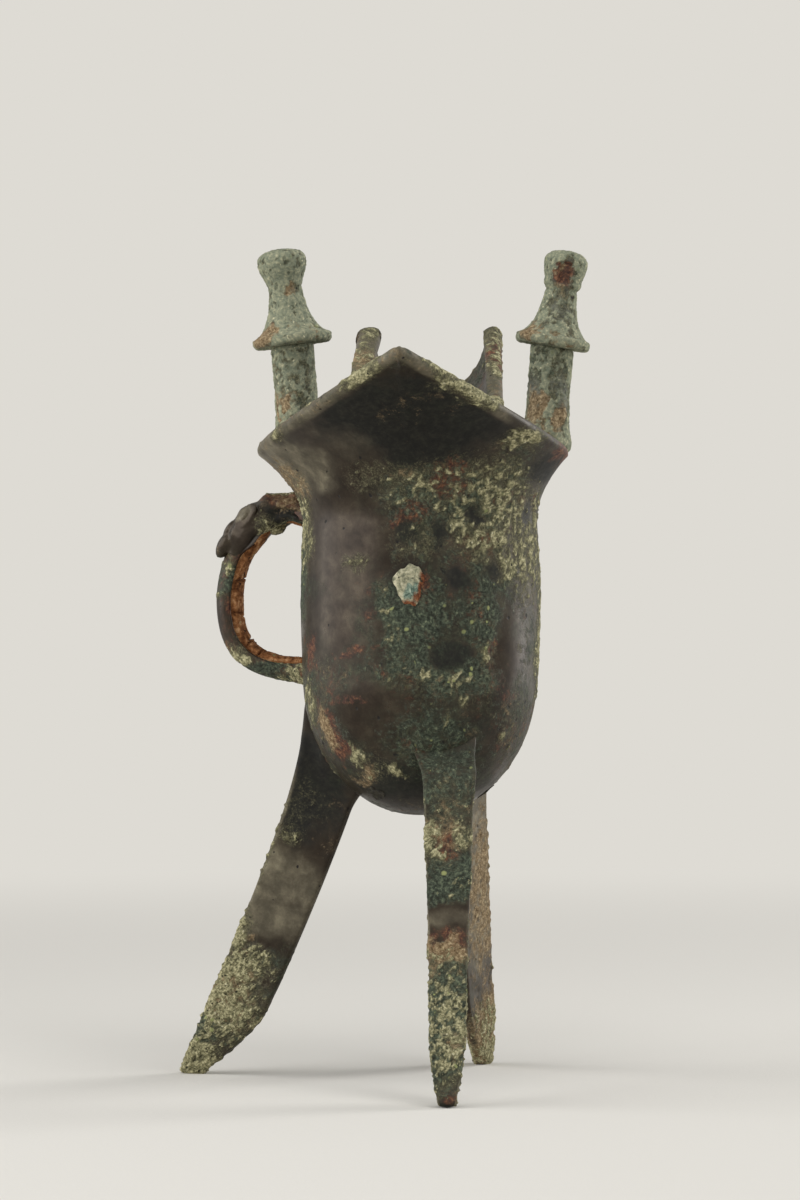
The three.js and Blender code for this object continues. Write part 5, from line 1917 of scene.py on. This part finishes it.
def cast_bronze() -> Finish:
    """Leaded tin bronze, cast in clay moulds and long in the ground.

    Its polished skin has gone brown-black and keeps a satin gloss. Oxblood, teal, tan and pale green
    growths lie over it in patches, dull and rough, so that the light is sharp on one place and soft on the
    next.
    """
    metal = Coat(
        colours=((0.34, "261f18"), (0.45, "2f271f"), (0.54, "372f26"), (0.64, "423a2f")), grain_size=6.5,
        roughness=0.31, metal=0.5, grit=0.004,
    )
    crust = Coat(
        mark="scab",
        colours=((0.3, "1f2016"), (0.4, "3f3f2e"), (0.5, "69674c"), (0.6, "948f6d"), (0.72, "cac39c")),
        patch_size=0.95, swing=1.9, edge=0.28, grain_size=0.7, roughness=0.92, rise=0.08, grit=0.13,
        relief=0.12, shift=37, veil=0.95, ragged=0.82,
    )
    return Finish("buried_cast_bronze", metal, bronze_layers(crust))


def crusted_bronze() -> Finish:
    """The same bronze where the crust has closed over it: pale grey-green, tan in places, with no gloss."""
    metal = Coat(
        colours=((0.34, "3d3e37"), (0.46, "55574e"), (0.56, "6d6f63"), (0.66, "83836f")), grain_size=2.2,
        roughness=0.62, metal=0.15, grit=0.03,
    )
    crust = Coat(
        mark="scab",
        colours=((0.28, "50554a"), (0.41, "68705f"), (0.53, "7d826e"), (0.65, "98997f"), (0.78, "c2bd9c")),
        patch_size=2.6, swing=0.7, edge=0.42, grain_size=0.9, roughness=0.94, rise=0.06, grit=0.12,
        relief=0.1, shift=41, veil=0.92, ragged=0.8,
    )
    return Finish("crusted_cast_bronze", metal, bronze_layers(crust)[:-1])


def fired_clay() -> Finish:
    """Loess clay of a core, baked by the poured metal: orange-brown, dead matt, cracked and gritty."""
    ground = Coat(
        colours=((0.34, "4d2e1b"), (0.45, "7a4f30"), (0.55, "a37149"), (0.67, "cfa57a")), grain_size=1.5,
        roughness=0.96, grit=0.1,
    )
    layers = (
        Specks("2a180f", cell=1.2, radius=0.3, part=0.3, rise=-0.12, shift=4),
        Specks("b79c74", cell=1.7, radius=0.24, part=0.22, rise=0.07, shift=6),
        Specks("757b52", cell=2.9, radius=0.2, part=0.2, rise=0.05, shift=9),
    )
    return Finish("baked_core_clay", ground, layers, specular=0.15)


def spacer_bronze() -> Finish:
    """Bronze of another alloy, cut from scrap: now mint and cream carbonates ringed with rust red."""
    ground = Coat(
        colours=((0.32, "57594a"), (0.43, "83836c"), (0.53, "aca88c"), (0.64, "d2ccb0")), grain_size=1.1,
        roughness=0.9, grit=0.12,
    )
    mint = Coat(
        mark="verdigris",
        colours=((0.34, "33423a"), (0.46, "57695c"), (0.56, "7f9080"), (0.66, "adb79f")), patch_size=2.2,
        swing=1.4, edge=0.25, grain_size=0.8, roughness=0.88, rise=-0.05, grit=0.1, shift=27,
    )
    cuprite = Coat(
        mark="cuprite", colours=((0.35, "34180f"), (0.47, "5f3420"), (0.6, "8c5a3a")), patch_size=1.6,
        swing=1.2, edge=0.2, grain_size=0.7, roughness=0.85, rise=-0.03, grit=0.05, shift=15,
    )
    # Black where the wall's black layer, patina and painted shade alike, closes over a spacer.
    black = Coat(
        mark="black", colours=((0.36, "17140f"), (0.5, "28251c"), (0.64, "3d3a2d")), patch_size=3,
        swing=1.2, edge=0.3, grain_size=1.2, roughness=0.6, shift=21,
    )
    pits = Specks("2d3226", cell=0.9, radius=0.3, part=0.3, rise=-0.1, shift=7)
    return Finish("spacer_alloy_carbonates", ground, (mint, cuprite, pits, black))


# The studio


@dataclass
class Studio:
    """A pale floor that runs into a pale backdrop, a camera level with the cup, and soft lamps."""

    camera_angle: float = 3
    camera_distance: float = 1.2
    camera_height: float = 0.119
    lens: float = 146.5
    sensor: float = 36
    shift_left: float = 20 / 1200
    floor_radius: float = 8
    fade_from: float = 0.2
    fade_to: float = 0.95
    sky_level: float = 0.34

    def camera(self) -> None:
        """The camera, on the vessel's tail side and looking level."""
        angle = math.radians(self.camera_angle)
        data = bpy.data.cameras.new("camera")
        data.lens = self.lens
        data.sensor_fit = "AUTO"
        data.sensor_width = self.sensor
        data.shift_x = -self.shift_left
        camera = put_in_scene("camera", data)
        axis = CUP_AXIS * MM
        x = axis[0] + self.camera_distance * math.sin(angle)
        y = axis[1] - self.camera_distance * math.cos(angle)
        camera.location = (x, y, self.camera_height)
        camera.rotation_euler = (math.pi / 2, 0, angle)
        bpy.context.scene.camera = camera

    def background_share(self, tree: Tree) -> Socket:
        """One for rays that look for the background, straight, by reflection or through glass."""
        path = add_node(tree, "ShaderNodeLightPath")
        seen = path["Is Camera Ray"]
        for ray in ("Is Glossy Ray", "Is Transmission Ray"):
            seen = add_node(tree, "ShaderNodeMath", (seen, path[ray]), operation="MAXIMUM")[0]
        return seen

    def floor(self) -> None:
        """The floor: matt paper that takes on the backdrop's tone as it runs away from the vessel."""
        turns = np.linspace(0, 2 * math.pi, 96, endpoint=False)
        ring = np.column_stack([np.cos(turns), np.sin(turns), 0 * turns]) * self.floor_radius
        mesh = bpy.data.meshes.new("paper_floor")
        mesh.from_pydata([tuple(p) for p in ring], [], [tuple(range(len(ring)))])
        floor = put_in_scene("paper_floor", mesh)
        material = bpy.data.materials.new("matt_paper")
        tree = empty_tree(material)
        where = add_node(tree, "ShaderNodeTexCoord")["Object"]
        away = add_node(tree, "ShaderNodeVectorMath", (where,), operation="LENGTH")["Value"]
        ease = {"Value": away, "From Min": self.fade_from, "From Max": self.fade_to}
        fade = add_node(tree, "ShaderNodeMapRange", ease, interpolation_type="SMOOTHSTEP")[0]
        both = (fade, self.background_share(tree))
        share = add_node(tree, "ShaderNodeMath", both, operation="MULTIPLY")[0]
        fibre = {"Vector": where, "Scale": 900.0, "Detail": 4.0}
        tooth = add_node(tree, "ShaderNodeTexNoise", fibre)[0]
        bumps = {"Height": tooth, "Strength": 0.15, "Distance": 0.0005}
        bump = add_node(tree, "ShaderNodeBump", bumps)[0]
        colour = linear(PALE)
        paper = add_node(tree, "ShaderNodeBsdfDiffuse", {"Color": colour, "Normal": bump})[0]
        glow = add_node(tree, "ShaderNodeEmission", {"Color": colour})[0]
        mixed = add_node(tree, "ShaderNodeMixShader", (share, paper, glow))[0]
        add_node(tree, "ShaderNodeOutputMaterial", {"Surface": mixed})
        mesh.materials.append(material)

    def sky(self) -> None:
        """The backdrop that the camera and reflections see, and the even light that the room gives."""
        world = bpy.data.worlds.new("pale_room")
        tree = empty_tree(world)
        room = add_node(tree, "ShaderNodeBackground", {"Strength": self.sky_level})[0]
        shown = add_node(tree, "ShaderNodeBackground", {"Color": linear(PALE)})[0]
        mixed = (self.background_share(tree), room, shown)
        surface = add_node(tree, "ShaderNodeMixShader", mixed)[0]
        add_node(tree, "ShaderNodeOutputWorld", {"Surface": surface})
        bpy.context.scene.world = world

    def lamp(
        self, name: str, azimuth: float, rise: float, distance: float, wide: float, tall: float,
        power: float,
    ) -> None:
        """A soft rectangular lamp turned to the cup.

        Args:
            name: its name.
            azimuth: its direction from the cup in degrees from +X towards +Y.
            rise: its direction above level in degrees.
            distance: how far from the cup in metres.
            wide: its width in metres.
            tall: its height in metres.
            power: in watts.
        """
        data = bpy.data.lights.new(name, "AREA")
        data.shape = "RECTANGLE"
        data.size = wide
        data.size_y = tall
        data.energy = power
        lamp = put_in_scene(name, data)
        a, e = math.radians(azimuth), math.radians(rise)
        out = Vector((math.cos(a) * math.cos(e), math.sin(a) * math.cos(e), math.sin(e)))
        lamp.location = Vector(CUP_AXIS * MM) + Vector((0, 0, self.camera_height)) + out * distance
        lamp.rotation_euler = out.to_track_quat("Z", "Y").to_euler()

    def build(self) -> None:
        """Sets up the whole studio."""
        self.camera()
        self.floor()
        self.sky()
        self.lamp("softbox_left", azimuth=-165, rise=14, distance=1.1, wide=1.5, tall=1.0, power=13)
        self.lamp("softbox_right_behind", azimuth=30, rise=16, distance=1.1, wide=0.4, tall=1.0, power=7)
        self.lamp("softbox_above", azimuth=-70, rise=66, distance=1.2, wide=1.0, tall=0.8, power=6)
        self.lamp("softbox_front", azimuth=-52, rise=18, distance=1.7, wide=0.9, tall=0.9, power=6)
        bpy.context.scene.view_settings.view_transform = "Standard"


# The whole vessel


@dataclass
class Dresser:
    """Roughens a finished shape, gives it its finish, and ties it to the CAD model."""

    relief: Tree
    grains: Tree
    finishes: dict[str, bpy.types.Material]
    seed: int = 0
    shift_step: float = 0.013  # how far each piece's noise is from the last one's, in metres
    box_gap: float = 0.00002  # how far inside the CAD model's box a piece ends, in metres

    def tie(self, piece: Piece, nodes: tuple[str, ...] = ()) -> None:
        """Makes a piece ride with the vessel and stand for CAD nodes."""
        self.keep_in_box(piece)
        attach(piece, "root")
        if nodes:
            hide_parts(*nodes)
        log.info("%s: %d faces", piece.name, len(piece.data.polygons))

    def keep_in_box(self, piece: Piece) -> None:
        """Holds a piece's points inside the CAD model's box."""
        flat = np.zeros(len(piece.data.vertices) * 3, np.float32)
        piece.data.vertices.foreach_get("co", flat)
        low, high = (np.array(corner) for corner in cad_box)
        points = np.clip(flat.reshape(-1, 3), low + self.box_gap, high - self.box_gap)
        piece.data.vertices.foreach_set("co", points.ravel())
        piece.data.update()

    def dress(self, piece: Piece, nodes: tuple[str, ...], slot: str, height: float, lump: float) -> None:
        """Raises the growths on a piece and gives it its finish.

        Args:
            piece: the shape, with its growths marked.
            nodes: the CAD nodes that it stands for.
            slot: the key of the finish that it takes.
            height: how far crust stands up, in mm.
            lump: the width of its lumps in mm.
        """
        self.seed += 1
        values = {
            "Height": height * MM, "Lump Size": lump * MM, "Shift": self.shift_step * self.seed,
            "Material": self.finishes[slot],
        }
        piece.data.materials.append(self.finishes[slot])
        run_tree(piece, self.relief, values)
        self.tie(piece, nodes)

    def scatter(self, piece: Piece, name: str, slot: str, density: float, sizes: Place) -> None:
        """Adds loose grains of crust on a dressed piece.

        Args:
            piece: the dressed piece.
            name: the grains' name.
            slot: the key of the finish that it takes.
            density: grains to a square metre where the crust is full.
            sizes: the smallest and the largest grain's radius in mm.
        """
        grains = piece.copy()
        grains.data = piece.data.copy()
        grains.name = name
        bpy.context.scene.collection.objects.link(grains)
        values = {
            "Density": density, "Smallest": sizes[0] * MM, "Largest": sizes[1] * MM, "Seed": self.seed,
            "Material": self.finishes[slot],
        }
        run_tree(grains, self.grains, values)
        self.tie(grains)


def main() -> None:
    """Builds the vessel piece by piece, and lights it."""
    logging.basicConfig(level=logging.INFO, format="%(message)s")
    made = {BRONZE: cast_bronze(), CRUSTED: crusted_bronze(), CLAY: fired_clay(), SPACER: spacer_bronze()}
    finishes = {slot: finish.build() for slot, finish in made.items()}
    dresser = Dresser(relief_tree(), grain_tree(), finishes)
    dresser.dress(VesselBody().build(), ("vessel_body",), BRONZE, height=0.45, lump=1.7)
    for leg in three_legs():
        casting = leg.build()
        dresser.dress(casting, (leg.node,), BRONZE, height=0.6, lump=1.7)
        dresser.scatter(casting, f"{leg.name}_grains", BRONZE, 900000.0, (0.1, 0.3))
    handle = StrapHandle()
    dresser.dress(handle.strap(), ("handle_strap",), BRONZE, height=0.3, lump=2.2)
    dresser.dress(handle.head(), ("handle_ox_head",), BRONZE, height=0.3, lump=2.0)
    dresser.dress(handle.clay_core(), ("handle_clay_core",), CLAY, height=0.3, lump=2.0)
    for post in two_posts():
        dresser.dress(post.shaft(), (f"post_{post.place}",), CRUSTED, height=0.3, lump=1.8)
        dresser.dress(post.cap(), (f"post_cap_{post.place}",), CRUSTED, height=0.3, lump=1.8)
    spacers = WallSpacers()
    dresser.dress(spacers.wall_spacer(), ("chaplet_tail_wall",), SPACER, height=0.2, lump=1.2)
    for number, spacer in enumerate(spacers.base_spacers(), start=1):
        dresser.dress(spacer, (f"chaplet_base_{number}",), SPACER, height=0.15, lump=1.2)
    for node in ("cap_core_handle_side", "cap_core_far_side"):
        core = bpy.data.objects[node]
        core.data.materials.clear()
        core.data.materials.append(finishes[CLAY])
        log.info("%s: kept from the CAD model", node)
    Studio().build()


if __name__ == "__main__":
    main()
